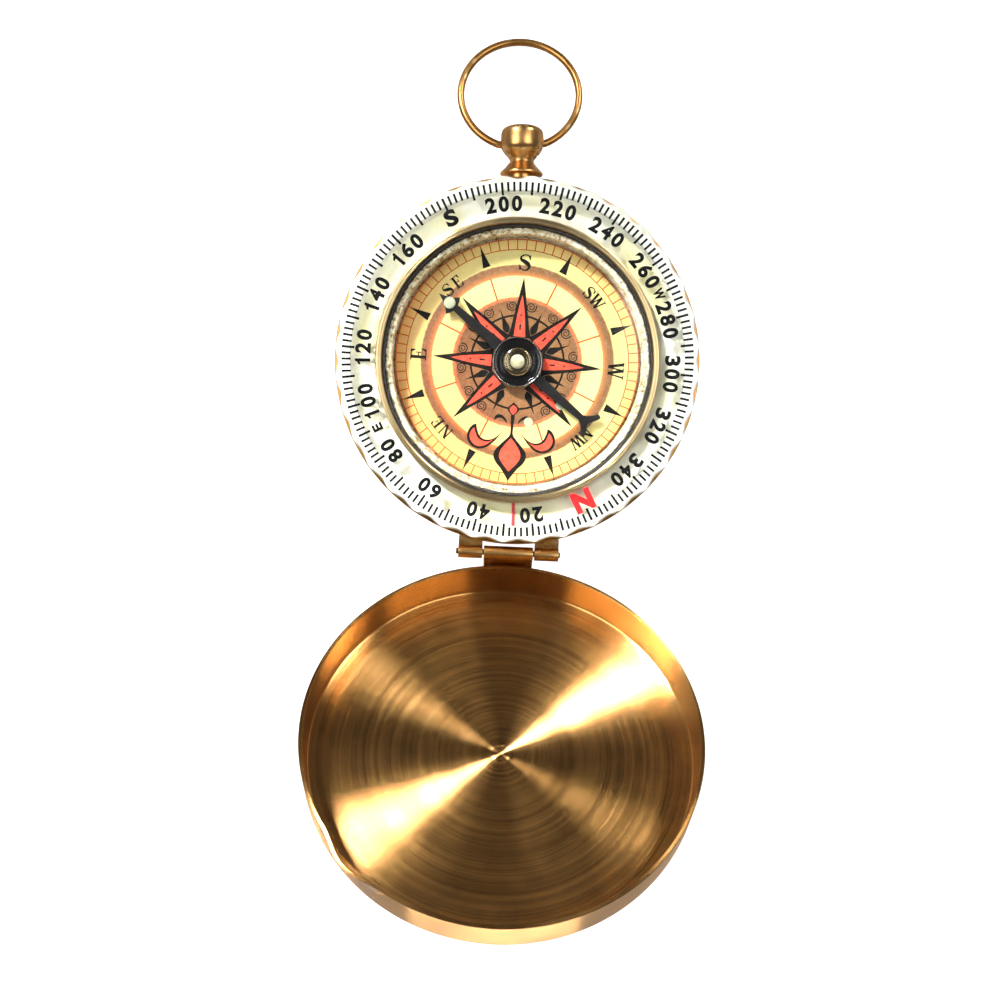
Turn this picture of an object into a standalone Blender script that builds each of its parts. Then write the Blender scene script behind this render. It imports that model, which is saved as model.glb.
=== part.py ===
"""Brass pocket compass with a hinged lid, a turning bezel and a bow ring.

Frame: +Z is up and the dial faces +Z. The bow hangs off the +Y side and the
lid is hinged on the -Y side. The origin is at the centre of the case's back.
"""
import math

import bmesh
import bpy
from mathutils import Matrix, Vector

MM = 0.001

# case and lid
CASE_WALL_R = 23.9
CASE_INNER_R = 22.9
CASE_BACK_R = 21.3
CASE_FLOOR = 1.0
FLANGE_R = 25.0
FLANGE_BOTTOM = 7.3
FLANGE_TOP = 7.9
LID_R = 25.0
LID_INNER_R = 24.5
LID_WALL_END = 4.9
LID_FLOOR = 5.3
LID_TOP = 6.1
LID_DOME = 1.7
LID_DOME_R = 24.2
DOME_STATIONS = (22.0, 19.0, 15.0, 10.0, 5.0, 0.0)
LIP_ANGLE = 133.0
LIP_HALF_ANGLE = 12.0
LIP_REACH = 0.85
LIP_DEPTH = 1.6

# hinge
HINGE_Y = -26.0
HINGE_Z = 6.7
LID_OPEN = 135.1
LID_LIFT = 1.5
KNUCKLE_R = 0.9
KNUCKLE_BORE_R = 0.5
HINGE_PIN_R = 0.4
HINGE_PIN_LEFT = -7.2
HINGE_PIN_RIGHT = 7.1
LID_KNUCKLE_HALF = 3.37
SIDE_KNUCKLE_NEAR = 3.57
SIDE_KNUCKLE_FAR = 6.87
LEAF_THICK = 0.55
LEAF_GAP = 0.3
BRACKET_BOTTOM = 4.6
BRACKET_TOP = 7.0
LEAF_TOP = 5.0

# pendant and bow
PENDANT_Z = 5.0
PENDANT_Y = 29.4
PENDANT_TURN = 1.3
STUD_R = 1.0
STUD_HOLE_R = 1.3
NUT_R = 2.2
NUT_BORE_R = 1.2
NUT_NEAR = 21.3
NUT_FAR = 22.55
BOW_R = 8.085
BOW_WIRE_R = 0.48
BOW_CENTRE = 7.57
BOW_TILT = -16.7
BOW_LEAN = 3.2
BOW_END_ANGLE = 21.0
BOW_PIN_END = 1.75
BOW_BORE_R = 0.66
BOW_BORE_END = 1.4

# bezel, scale and capsule
BEZEL_R = 24.2
BEZEL_NOTCH = 0.4
BEZEL_TOP = 10.9
BEZEL_TURN = 27.8
LOBES = 36
LOBE_STEPS = (0.0, 0.55, 1.0, 0.55)
INDEX_ANGLE = -89.0
INDEX_NEAR = 18.75
INDEX_FAR = 22.0
INDEX_HALF = 0.2
INDEX_BOTTOM = 9.33
INDEX_TOP = 9.45
CRYSTAL_R = 17.35
CUP_R = 17.4
CUP_INNER_R = 16.75
CUP_TOP = 9.8
DIAL_R = 16.5
DIAL_BOTTOM = 6.95
DIAL_TOP = 7.4

# needle
NEEDLE_TURN = 141.6
NEEDLE_BOTTOM = 8.1
NEEDLE_TOP = 8.35
NEEDLE_HOLE_R = 1.05
LUME_X = 12.0
LUME_R = 0.78
LUME_TOP = 8.55

ROUND_STEPS = 72
RING_STEPS = 60
KNOB_STEPS = 32
SMALL_STEPS = 20
BOW_STEPS = 34
BOW_SIDES = 10
WELD = 0.000001
SHARP_ANGLE = math.radians(32.0)


def clear_scene():
    for item in list(bpy.data.objects):
        bpy.data.objects.remove(item, do_unlink=True)


def finish(name, colour, roughness, metallic):
    material = bpy.data.materials.new(name)
    material.use_nodes = True
    shader = material.node_tree.nodes["Principled BSDF"]
    shader.inputs["Base Color"].default_value = (*colour, 1.0)
    shader.inputs["Roughness"].default_value = roughness
    shader.inputs["Metallic"].default_value = metallic
    return material


def brass(name):
    return finish(name, (0.62, 0.42, 0.16), 0.28, 1.0)


def close_mesh(bm):
    bmesh.ops.remove_doubles(bm, verts=bm.verts, dist=WELD)
    bmesh.ops.dissolve_degenerate(bm, edges=bm.edges, dist=WELD)
    bmesh.ops.recalc_face_normals(bm, faces=bm.faces)


def place(name, bm, material, at=(0.0, 0.0, 0.0), turn=(0.0, 0.0, 0.0)):
    """Put a finished bmesh in the scene as one named object."""
    mesh = bpy.data.meshes.new(name)
    bm.to_mesh(mesh)
    bm.free()
    mesh.materials.append(material)
    mesh.shade_smooth()
    mesh.set_sharp_from_angle(angle=SHARP_ANGLE)
    item = bpy.data.objects.new(name, mesh)
    item.location = Vector(at) * MM
    item.rotation_euler = [math.radians(angle) for angle in turn]
    bpy.context.scene.collection.objects.link(item)
    return item


def turned(profile, steps):
    """Turn a closed (radius, height) profile about Z. A profile whose ends
    both lie on the axis is left open there."""
    bm = bmesh.new()
    points = [bm.verts.new((radius * MM, 0.0, height * MM)) for radius, height in profile]
    edges = [bm.edges.new(pair) for pair in zip(points, points[1:])]
    on_axis = profile[0][0] == 0.0 and profile[-1][0] == 0.0
    if not on_axis:
        edges.append(bm.edges.new((points[-1], points[0])))
    bmesh.ops.spin(
        bm,
        geom=points + edges,
        cent=(0.0, 0.0, 0.0),
        axis=(0.0, 0.0, 1.0),
        angle=math.tau,
        steps=steps,
        use_merge=True,
    )
    close_mesh(bm)
    return bm


def plate(outline, bottom, top):
    """Raise a flat (x, y) outline from one height to another."""
    bm = bmesh.new()
    face = bm.faces.new([bm.verts.new((x * MM, y * MM, bottom * MM)) for x, y in outline])
    raised = bmesh.ops.extrude_face_region(bm, geom=[face])
    moved = [part for part in raised["geom"] if isinstance(part, bmesh.types.BMVert)]
    bmesh.ops.translate(bm, verts=moved, vec=(0.0, 0.0, (top - bottom) * MM))
    bmesh.ops.recalc_face_normals(bm, faces=bm.faces)
    return bm


def block(low, high):
    outline = [(low[0], low[1]), (high[0], low[1]), (high[0], high[1]), (low[0], high[1])]
    return plate(outline, low[2], high[2])


def arc_plate(centre_y, inner, outer, half_angle, facing, bottom, top):
    """Curved strip about a vertical axis at (0, centre_y), facing +Y or -Y."""
    steps = 8
    angles = [half_angle * (2.0 * index / steps - 1.0) for index in range(steps + 1)]
    rim = [(outer, angle) for angle in angles] + [(inner, angle) for angle in reversed(angles)]
    outline = [
        (radius * math.sin(math.radians(angle)),
         centre_y + facing * radius * math.cos(math.radians(angle)))
        for radius, angle in rim
    ]
    return plate(outline, bottom, top)


def rod(radius, start, end, across, height, steps=SMALL_STEPS):
    """Round bar along X from start to end, at y = across and z = height."""
    bm = turned([(0.0, start), (radius, start), (radius, end), (0.0, end)], steps)
    bm.transform(Matrix.Rotation(math.radians(90.0), 4, "Y"))
    bm.transform(Matrix.Translation(Vector((0.0, across, height)) * MM))
    return bm


def combine(item, tool_bm, operation):
    """Join a solid to an object, or cut it away, with an exact Boolean."""
    tool = place(item.name + "_tool", tool_bm, item.data.materials[0])
    tool.matrix_world = item.matrix_basis.copy()
    tool.hide_render = True
    tool.display_type = "WIRE"
    step = item.modifiers.new(operation.lower(), "BOOLEAN")
    step.operation = operation
    step.solver = "EXACT"
    step.object = tool
    bpy.context.view_layer.update()
    whole = item.evaluated_get(bpy.context.evaluated_depsgraph_get())
    result = bpy.data.meshes.new_from_object(whole)
    old = item.data
    item.modifiers.clear()
    item.data = result
    result.name = item.name
    bpy.data.meshes.remove(old)
    bpy.data.objects.remove(tool, do_unlink=True)
    bm = bmesh.new()
    bm.from_mesh(result)
    close_mesh(bm)
    bm.to_mesh(result)
    bm.free()
    result.shade_smooth()
    result.set_sharp_from_angle(angle=SHARP_ANGLE)


def case_body():
    profile = [
        (0.0, 0.0), (CASE_BACK_R, 0.0), (22.6, 0.35), (23.5, 1.2), (CASE_WALL_R, 2.5),
        (CASE_WALL_R, FLANGE_BOTTOM), (FLANGE_R, FLANGE_BOTTOM), (FLANGE_R, 7.8),
        (24.9, FLANGE_TOP), (CASE_INNER_R, FLANGE_TOP), (CASE_INNER_R, CASE_FLOOR),
        (0.0, CASE_FLOOR),
    ]
    item = place("case_body", turned(profile, ROUND_STEPS), brass("case_body"))
    hole = turned([(0.0, 22.0), (STUD_HOLE_R, 22.0), (STUD_HOLE_R, 25.0), (0.0, 25.0)], SMALL_STEPS)
    hole.transform(Matrix.Rotation(math.radians(-90.0), 4, "X"))
    hole.transform(Matrix.Rotation(math.radians(PENDANT_TURN), 4, "Z"))
    hole.transform(Matrix.Translation((0.0, 0.0, PENDANT_Z * MM)))
    combine(item, hole, "DIFFERENCE")


def pendant():
    """Turned knob; its stud passes through the case wall."""
    profile = [
        (0.0, 20.6), (STUD_R, 20.6), (STUD_R, 24.25), (2.0, 24.25), (2.0, 25.2), (2.8, 25.3),
        (2.9, 25.55), (2.3, 26.2), (1.63, 27.1), (1.85, 27.6), (2.5, 28.35), (2.85, 28.95),
        (2.9, 30.0), (2.82, 31.1), (2.45, 31.5), (1.5, 31.83), (0.0, 31.95),
    ]
    bm = turned(profile, KNOB_STEPS)
    bm.transform(Matrix.Rotation(math.radians(-90.0), 4, "X"))
    turn = (0.0, 0.0, PENDANT_TURN)
    item = place("pendant", bm, brass("pendant"), (0.0, 0.0, PENDANT_Z), turn)
    for side in (-1.0, 1.0):
        ends = sorted((side * BOW_BORE_END, side * 4.0))
        combine(item, rod(BOW_BORE_R, ends[0], ends[1], PENDANT_Y, 0.0), "DIFFERENCE")


def pendant_nut():
    profile = [(NUT_BORE_R, NUT_NEAR), (NUT_R, NUT_NEAR), (NUT_R, NUT_FAR), (NUT_BORE_R, NUT_FAR)]
    bm = turned(profile, SMALL_STEPS)
    bm.transform(Matrix.Rotation(math.radians(-90.0), 4, "X"))
    plain = finish("pendant_nut", (0.5, 0.5, 0.48), 0.35, 1.0)
    place("pendant_nut", bm, plain, (0.0, 0.0, PENDANT_Z), (0.0, 0.0, PENDANT_TURN))


def bow_path():
    """Ring of wire whose two ends turn inwards as pivot pins. It leans a
    little to one side in its loose bores."""
    points = [(BOW_PIN_END, 0.0), (2.45, 0.0)]
    for index in range(BOW_STEPS + 1):
        turn = BOW_END_ANGLE + (360.0 - 2.0 * BOW_END_ANGLE) * index / BOW_STEPS
        angle = math.radians(turn)
        points.append((BOW_R * math.sin(angle), BOW_CENTRE - BOW_R * math.cos(angle)))
    points += [(-2.45, 0.0), (-BOW_PIN_END, 0.0)]
    lean = Matrix.Rotation(math.radians(BOW_LEAN), 3, "Z")
    return [lean @ Vector((x, y, 0.0)) * MM for x, y in points]


def bow_ring():
    path = bow_path()
    up = Vector((0.0, 0.0, 1.0))
    bm = bmesh.new()
    loops = []
    for index, point in enumerate(path):
        before = path[max(index - 1, 0)]
        after = path[min(index + 1, len(path) - 1)]
        out = (after - before).normalized().cross(up)
        loop = []
        for side in range(BOW_SIDES):
            angle = math.tau * side / BOW_SIDES
            offset = (out * math.cos(angle) + up * math.sin(angle)) * BOW_WIRE_R * MM
            loop.append(bm.verts.new(point + offset))
        loops.append(loop)
    for first, second in zip(loops, loops[1:]):
        for side in range(BOW_SIDES):
            after = (side + 1) % BOW_SIDES
            bm.faces.new((first[side], first[after], second[after], second[side]))
    bm.faces.new(loops[0])
    bm.faces.new(loops[-1])
    bmesh.ops.recalc_face_normals(bm, faces=bm.faces)
    turn = math.radians(PENDANT_TURN)
    pivot = (-PENDANT_Y * math.sin(turn), PENDANT_Y * math.cos(turn), PENDANT_Z)
    place("bow_ring", bm, brass("bow_ring"), pivot, (BOW_TILT, 0.0, PENDANT_TURN))


def hinge_bracket():
    """Curved plate under the flange, carrying the two outer knuckles."""
    inner = CASE_WALL_R + LEAF_GAP
    outer = inner + LEAF_THICK
    half = math.degrees(math.asin(SIDE_KNUCKLE_FAR / outer))
    strip = arc_plate(0.0, inner, outer, half, -1.0, BRACKET_BOTTOM, BRACKET_TOP)
    item = place("hinge_bracket", strip, brass("hinge_bracket"))
    for side in (-1.0, 1.0):
        near, far = sorted((side * SIDE_KNUCKLE_NEAR, side * SIDE_KNUCKLE_FAR))
        web = block((near, HINGE_Y + 0.5, 5.85), (far, -23.9, 6.95))
        combine(item, web, "UNION")
        combine(item, rod(KNUCKLE_R, near, far, HINGE_Y, HINGE_Z), "UNION")
    combine(item, rod(KNUCKLE_BORE_R, -8.0, 8.0, HINGE_Y, HINGE_Z), "DIFFERENCE")


def lid_leaf():
    """Middle knuckle and its leaf, on the outside of the lid wall."""
    inner = LID_R + LEAF_GAP
    half = math.degrees(math.asin(LID_KNUCKLE_HALF / (inner + LEAF_THICK)))
    strip = arc_plate(-HINGE_Y, inner, inner + LEAF_THICK, half, -1.0, 0.0, LEAF_TOP)
    at = (0.0, HINGE_Y, HINGE_Z)
    item = place("lid_leaf", strip, brass("lid_leaf"), at, (LID_OPEN, 0.0, 0.0))
    combine(item, rod(KNUCKLE_R, -LID_KNUCKLE_HALF, LID_KNUCKLE_HALF, 0.0, 0.0), "UNION")
    combine(item, rod(KNUCKLE_BORE_R, -8.0, 8.0, 0.0, 0.0), "DIFFERENCE")


def hinge_pin():
    profile = [
        (0.0, HINGE_PIN_LEFT), (0.25, HINGE_PIN_LEFT), (HINGE_PIN_R, -7.05),
        (HINGE_PIN_R, HINGE_PIN_RIGHT), (0.0, HINGE_PIN_RIGHT),
    ]
    bm = turned(profile, SMALL_STEPS)
    bm.transform(Matrix.Rotation(math.radians(90.0), 4, "Y"))
    steel = finish("hinge_pin", (0.35, 0.33, 0.3), 0.35, 1.0)
    place("hinge_pin", bm, steel, (0.0, HINGE_Y, HINGE_Z))


def flare_lip(bm):
    """Push the mouth of the lid outwards over a short thumb lip."""
    for point in bm.verts:
        radius = math.hypot(point.co.x, point.co.y)
        if radius < LID_INNER_R * MM * 0.98 or point.co.z > LIP_DEPTH * MM:
            continue
        turn = math.degrees(math.atan2(point.co.y, point.co.x)) - LIP_ANGLE
        if abs(turn) > LIP_HALF_ANGLE:
            continue
        swell = math.cos(math.radians(90.0 * turn / LIP_HALF_ANGLE)) ** 2
        push = LIP_REACH * MM * swell * (1.0 - point.co.z / (LIP_DEPTH * MM))
        point.co.x *= (radius + push) / radius
        point.co.y *= (radius + push) / radius


def dome(radius):
    """How much deeper than its edge the lid is at a radius."""
    return LID_DOME * (1.0 - (radius / LID_DOME_R) ** 2)


def lid_shell():
    """Dished lid with a slightly domed top and a thumb lip."""
    profile = [(radius, LID_TOP + dome(radius)) for radius in reversed(DOME_STATIONS)]
    profile += [
        (23.6, 6.0), (24.5, 5.6), (LID_R, LID_WALL_END), (LID_R, LIP_DEPTH), (LID_R, 0.7),
        (LID_R, 0.0), (LID_INNER_R, 0.0), (LID_INNER_R, 0.7), (LID_INNER_R, LIP_DEPTH),
        (LID_INNER_R, 5.1), (LID_DOME_R, LID_FLOOR),
    ]
    profile += [(radius, LID_FLOOR + dome(radius)) for radius in DOME_STATIONS]
    bm = turned(profile, ROUND_STEPS)
    flare_lip(bm)
    bm.transform(Matrix.Translation(Vector((0.0, -HINGE_Y, LID_LIFT)) * MM))
    at = (0.0, HINGE_Y, HINGE_Z)
    place("lid_shell", bm, brass("lid_shell"), at, (LID_OPEN, 0.0, 0.0))


def bezel_ring():
    """Clear ring with a raised grip lobe at every ten degrees."""
    profile = [
        (22.95, 8.25), (BEZEL_R, 8.25), (BEZEL_R, 10.45), (23.85, BEZEL_TOP),
        (18.95, BEZEL_TOP), (18.95, 10.1), (18.5, 10.1), (18.5, 9.6), (22.95, 9.6),
    ]
    bm = turned(profile, LOBES * len(LOBE_STEPS))
    pitch = 360.0 / LOBES
    step = pitch / len(LOBE_STEPS)
    middle = len(LOBE_STEPS) // 2
    for point in bm.verts:
        radius = math.hypot(point.co.x, point.co.y)
        if radius < 23.5 * MM:
            continue
        turn = math.degrees(math.atan2(point.co.y, point.co.x)) % 360.0
        grip = LOBE_STEPS[(round(turn / step) + middle) % len(LOBE_STEPS)]
        scale = (radius - BEZEL_NOTCH * MM * (1.0 - grip)) / radius
        point.co.x *= scale
        point.co.y *= scale
    clear = finish("bezel_ring", (0.9, 0.92, 0.85), 0.08, 0.0)
    place("bezel_ring", bm, clear, (0.0, 0.0, 0.0), (0.0, 0.0, BEZEL_TURN))


def luminous_ring():
    """Moulded pale ring under the bezel, standing on a foot in the case."""
    profile = [(18.5, 1.3), (19.3, 1.3), (19.3, 8.8), (22.5, 8.8), (22.5, 9.3), (18.5, 9.3)]
    pale = finish("luminous_ring", (0.84, 0.86, 0.55), 0.5, 0.0)
    place("luminous_ring", turned(profile, RING_STEPS), pale)


def index_mark():
    low = (INDEX_NEAR, -INDEX_HALF, INDEX_BOTTOM)
    high = (INDEX_FAR, INDEX_HALF, INDEX_TOP)
    red = finish("index_mark", (0.8, 0.05, 0.08), 0.45, 0.0)
    place("index_mark", block(low, high), red, (0.0, 0.0, 0.0), (0.0, 0.0, INDEX_ANGLE))


def retainer_ring():
    """Brass ring whose lip holds the bezel down while it turns."""
    profile = [
        (18.0, 1.3), (18.25, 1.3), (18.25, 10.4), (18.75, 10.4), (18.75, 10.75),
        (18.6, BEZEL_TOP), (18.15, BEZEL_TOP), (18.0, 10.75),
    ]
    place("retainer_ring", turned(profile, RING_STEPS), brass("retainer_ring"))


def gasket_ring():
    profile = [
        (17.5, 10.1), (17.67, 9.95), (17.85, 10.1), (17.85, 10.4), (17.67, 10.55), (17.5, 10.4),
    ]
    rubber = finish("gasket_ring", (0.02, 0.02, 0.02), 0.6, 0.0)
    place("gasket_ring", turned(profile, RING_STEPS), rubber)


def crystal():
    rim = CRYSTAL_R
    profile = [(0.0, 10.1), (rim, 10.1), (rim, 10.65), (rim - 0.15, 10.8), (0.0, 10.8)]
    clear = finish("crystal", (0.95, 0.96, 0.95), 0.04, 0.0)
    place("crystal", turned(profile, RING_STEPS), clear)


def capsule_cup():
    """Clear wall round the needle's room, with a web that carries the dial."""
    profile = [
        (0.4, 6.0), (CUP_INNER_R, 6.0), (CUP_INNER_R, 1.3), (CUP_R, 1.3), (CUP_R, CUP_TOP),
        (CUP_INNER_R, CUP_TOP), (CUP_INNER_R, 6.65), (0.4, 6.65),
    ]
    clear = finish("capsule_cup", (0.9, 0.9, 0.86), 0.1, 0.0)
    place("capsule_cup", turned(profile, RING_STEPS), clear)


def dial_card():
    profile = [(0.6, DIAL_BOTTOM), (DIAL_R, DIAL_BOTTOM), (DIAL_R, DIAL_TOP), (0.6, DIAL_TOP)]
    card = finish("dial_card", (0.83, 0.72, 0.42), 0.55, 0.0)
    place("dial_card", turned(profile, RING_STEPS), card)


def pivot_pin():
    profile = [(0.0, 6.05), (0.3, 6.05), (0.3, 8.2), (0.08, 8.84), (0.0, 8.84)]
    steel = finish("pivot_pin", (0.55, 0.55, 0.55), 0.25, 1.0)
    place("pivot_pin", turned(profile, SMALL_STEPS), steel)


def needle():
    """Flat steel pointer: barbed at its marked end, forked at its tail."""
    side = [
        (13.9, 0.0), (12.3, 0.62), (11.45, 1.45), (10.95, 0.52), (3.4, 1.05), (0.0, 1.5),
        (-3.4, 0.95), (-11.3, 0.5), (-12.0, 0.8), (-12.6, 1.45), (-12.85, 1.95),
        (-13.4, 1.75), (-13.2, 1.0), (-12.75, 0.45), (-12.6, 0.0),
    ]
    mirrored = [(x, -y) for x, y in reversed(side[1:-1])]
    steel = finish("needle", (0.02, 0.02, 0.02), 0.35, 0.6)
    turn = (0.0, 0.0, NEEDLE_TURN)
    item = place("needle", plate(side + mirrored, NEEDLE_BOTTOM, NEEDLE_TOP), steel, turn=turn)
    hole = turned([(0.0, 7.5), (NEEDLE_HOLE_R, 7.5), (NEEDLE_HOLE_R, 9.0), (0.0, 9.0)], SMALL_STEPS)
    combine(item, hole, "DIFFERENCE")


def needle_hub():
    profile = [
        (1.1, 8.45), (3.34, 8.45), (3.34, 8.82), (3.2, 8.95), (3.02, 8.95),
        (2.9, 8.8), (2.3, 8.88), (1.5, 8.72), (1.1, 8.72),
    ]
    black = finish("needle_hub", (0.015, 0.015, 0.015), 0.12, 0.0)
    place("needle_hub", turned(profile, KNOB_STEPS), black, turn=(0.0, 0.0, NEEDLE_TURN))


def needle_cap():
    """Brass bearing cap that rides on the point of the pivot."""
    profile = [
        (0.0, 8.97), (0.45, 8.6), (0.45, 7.9), (0.85, 7.9), (0.85, 9.05), (1.87, 9.05),
        (1.87, 9.3), (1.6, 9.45), (1.2, 9.36), (0.0, 9.36),
    ]
    place("needle_cap", turned(profile, SMALL_STEPS), brass("needle_cap"), turn=(0.0, 0.0, NEEDLE_TURN))


def cap_jewel():
    profile = [(0.0, 9.42), (0.95, 9.42), (0.95, 9.58), (0.75, 9.74), (0.0, 9.78)]
    pale = finish("cap_jewel", (0.8, 0.79, 0.66), 0.3, 0.0)
    place("cap_jewel", turned(profile, SMALL_STEPS), pale, turn=(0.0, 0.0, NEEDLE_TURN))


def needle_lume():
    bm = turned([(0.0, 8.4), (LUME_R, 8.4), (LUME_R, 8.5), (0.5, LUME_TOP), (0.0, LUME_TOP)], SMALL_STEPS)
    bm.transform(Matrix.Translation((LUME_X * MM, 0.0, 0.0)))
    pale = finish("needle_lume", (0.82, 0.85, 0.68), 0.5, 0.0)
    place("needle_lume", bm, pale, turn=(0.0, 0.0, NEEDLE_TURN))


def build():
    clear_scene()
    for make in (
        case_body, pendant, pendant_nut, bow_ring, hinge_bracket, hinge_pin, lid_leaf, lid_shell,
        bezel_ring, luminous_ring, index_mark, retainer_ring, gasket_ring, crystal, capsule_cup,
        dial_card, pivot_pin, needle, needle_hub, needle_cap, cap_jewel, needle_lume,
    ):
        make()


build()
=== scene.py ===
# %% [markdown]
# # A brass pocket compass, made piece by piece
# This lesson dresses a fixed frame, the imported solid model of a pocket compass, with finely
# made pieces: turned brass, a clear scale ring, a printed dial, a needle and a hinged lid.
# The frame says where every part sits and how it moves; each piece below rides on one of its
# bodies. Sizes are written in millimetres, as on a maker's drawing, and scaled to metres once.

# %% Load the frame
import math
import random

import bmesh
import bpy
from mathutils import Matrix, Vector


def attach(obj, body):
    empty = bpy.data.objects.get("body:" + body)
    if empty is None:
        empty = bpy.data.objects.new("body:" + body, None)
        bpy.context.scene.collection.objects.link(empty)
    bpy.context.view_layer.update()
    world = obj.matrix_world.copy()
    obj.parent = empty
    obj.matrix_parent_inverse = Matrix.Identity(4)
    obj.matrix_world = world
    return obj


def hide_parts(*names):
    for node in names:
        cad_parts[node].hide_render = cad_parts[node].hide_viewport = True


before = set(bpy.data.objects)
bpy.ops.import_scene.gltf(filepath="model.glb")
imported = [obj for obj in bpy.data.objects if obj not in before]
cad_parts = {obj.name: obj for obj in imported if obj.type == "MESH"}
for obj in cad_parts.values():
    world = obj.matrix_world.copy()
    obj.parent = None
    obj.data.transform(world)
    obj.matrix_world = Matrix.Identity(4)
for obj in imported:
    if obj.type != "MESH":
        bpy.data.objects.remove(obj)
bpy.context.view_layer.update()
MM = 0.001

# %% [markdown]
# ## Placing frames
# Most parts are turned on a lathe about their own axis, so each is drawn about Z at the origin
# and then carried to its place by a matrix: one each for the open lid, the pendant that points
# along Y, the bow, the pointer, the turned scale and the card. The lid's matrix is also
# inverted later, because the brushing on the lid runs round the lid's own centre.

# %% Places of the parts
HINGE = Vector((0.0, -26.0, 6.7))
PIVOT = Vector((0.0, 29.4, 5.0))
LID_OPEN = 135.1


def rotation(degrees, axis="Z"):
    return Matrix.Rotation(math.radians(degrees), 4, axis)


TO_HINGE = Matrix.Translation(HINGE) @ rotation(LID_OPEN, "X")
TO_LID = TO_HINGE @ Matrix.Translation((0.0, 26.0, 1.5))
PENDANT_TURN = rotation(1.3)
TO_PENDANT = PENDANT_TURN @ Matrix.Translation((0.0, 0.0, PIVOT.z)) @ rotation(-90.0, "X")
TO_BOW = PENDANT_TURN @ Matrix.Translation(PIVOT) @ rotation(-16.7, "X") @ rotation(3.2)
TO_POINTER, TO_SCALE, TO_DIAL = rotation(141.6), rotation(27.8), rotation(-2.0)
print("lid mouth centre, mm:", [round(v, 2) for v in TO_LID.translation])

# %% [markdown]
# ## Helpers for shapes
# A turned part is a closed outline spun round Z. Real turned edges are never knife sharp, so
# each corner of the outline is first softened by a small curve; that is what catches the light.
# A printed mark is a very thin closed prism raised from a flat outline.


# %% Shape helpers
WIDE_STEPS, RING_STEPS, HUB_STEPS = 288, 192, 128


def soften(outline, reach, steps=3):
    """Rounds the corners of an outline; a corner on the axis stays as it is."""
    out = []
    count = len(outline)
    for i, corner in enumerate(outline):
        if abs(corner[0]) < 1e-6:
            out.append(corner)
            continue
        here = Vector(corner)
        before, after = Vector(outline[i - 1]), Vector(outline[(i + 1) % count])
        cut_in = min(reach, (before - here).length * 0.45)
        cut_out = min(reach, (after - here).length * 0.45)
        start = here + (before - here).normalized() * cut_in
        end = here + (after - here).normalized() * cut_out
        for k in range(steps + 1):
            t = k / steps
            out.append(tuple(start * (1 - t) ** 2 + here * 2 * t * (1 - t) + end * t * t))
    return out


def turned(outline, steps):
    """Spins a closed outline of (radius, height) round Z into a closed shell."""
    bm = bmesh.new()
    rings = []
    for radius, height in outline:
        if radius < 1e-6:
            rings.append([bm.verts.new((0.0, 0.0, height))] * steps)
            continue
        rings.append([
            bm.verts.new((radius * math.cos(math.tau * s / steps),
                          radius * math.sin(math.tau * s / steps), height))
            for s in range(steps)
        ])
    for a, b in zip(rings, rings[1:] + rings[:1]):
        for s in range(steps):
            t = (s + 1) % steps
            corners = list(dict.fromkeys((a[s], a[t], b[t], b[s])))
            if len(corners) > 2:
                bm.faces.new(corners)
    bmesh.ops.recalc_face_normals(bm, faces=bm.faces)
    return bm


def raised(outlines, low, high):
    """Raises flat (x, y) outlines into thin closed prisms."""
    bm = bmesh.new()
    for outline in outlines:
        under = [bm.verts.new((x, y, low)) for x, y in outline]
        over = [bm.verts.new((x, y, high)) for x, y in outline]
        caps = [bm.faces.new(under), bm.faces.new(over)]
        for i in range(len(outline)):
            j = (i + 1) % len(outline)
            bm.faces.new((under[i], under[j], over[j], over[i]))
        for cap in caps:
            cap.normal_update()
        bmesh.ops.triangulate(bm, faces=caps, ngon_method="EAR_CLIP")
    bmesh.ops.recalc_face_normals(bm, faces=bm.faces)
    return bm


def skinned(bm, loops):
    """Joins loops of vertices one after another and closes both ends."""
    for first, second in zip(loops, loops[1:]):
        for s in range(len(first)):
            t = (s + 1) % len(first)
            bm.faces.new((first[s], first[t], second[t], second[s]))
    for end in (loops[0], loops[-1]):
        bm.faces.new(end)
    bmesh.ops.recalc_face_normals(bm, faces=bm.faces)
    return bm


# %% Outline helpers
def slab(x0, y0, x1, y1):
    return [(x0, y0), (x1, y0), (x1, y1), (x0, y1)]


def circle(x, y, radius, steps):
    angles = [math.tau * k / steps for k in range(steps)]
    return [(x + radius * math.cos(a), y + radius * math.sin(a)) for a in angles]


def mirrored(side):
    """Completes an outline given on its +y side, from tip to foot."""
    return side + [(x, -y) for x, y in reversed(side) if y > 1e-6]


def curve_through(points, steps=4):
    """Passes a Catmull-Rom curve through the stations."""
    out = []
    pts = [Vector(p) for p in points]
    for i in range(len(pts) - 1):
        a, b = pts[max(i - 1, 0)], pts[i]
        c, d = pts[i + 1], pts[min(i + 2, len(pts) - 1)]
        for k in range(steps):
            t = k / steps
            out.append(tuple(0.5 * (2 * b + (c - a) * t + (2 * a - 5 * b + 4 * c - d) * t * t
                                    + (3 * b - a - 3 * c + d) * t ** 3)))
    return out + [tuple(pts[-1])]


# %% Object helpers
def as_mesh(name, bm):
    mesh = bpy.data.meshes.new(name)
    bm.to_mesh(mesh)
    bm.free()
    return mesh


def added(name, data):
    made = bpy.data.objects.new(name, data)
    bpy.context.scene.collection.objects.link(made)
    return made


def settled(made):
    """Takes an object away and gives back what it looked like with its modifiers."""
    bpy.context.view_layer.update()
    whole = made.evaluated_get(bpy.context.evaluated_depsgraph_get())
    result = bpy.data.meshes.new_from_object(whole)
    bpy.data.objects.remove(made, do_unlink=True)
    out = bmesh.new()
    out.from_mesh(result)
    bpy.data.meshes.remove(result)
    return out


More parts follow.
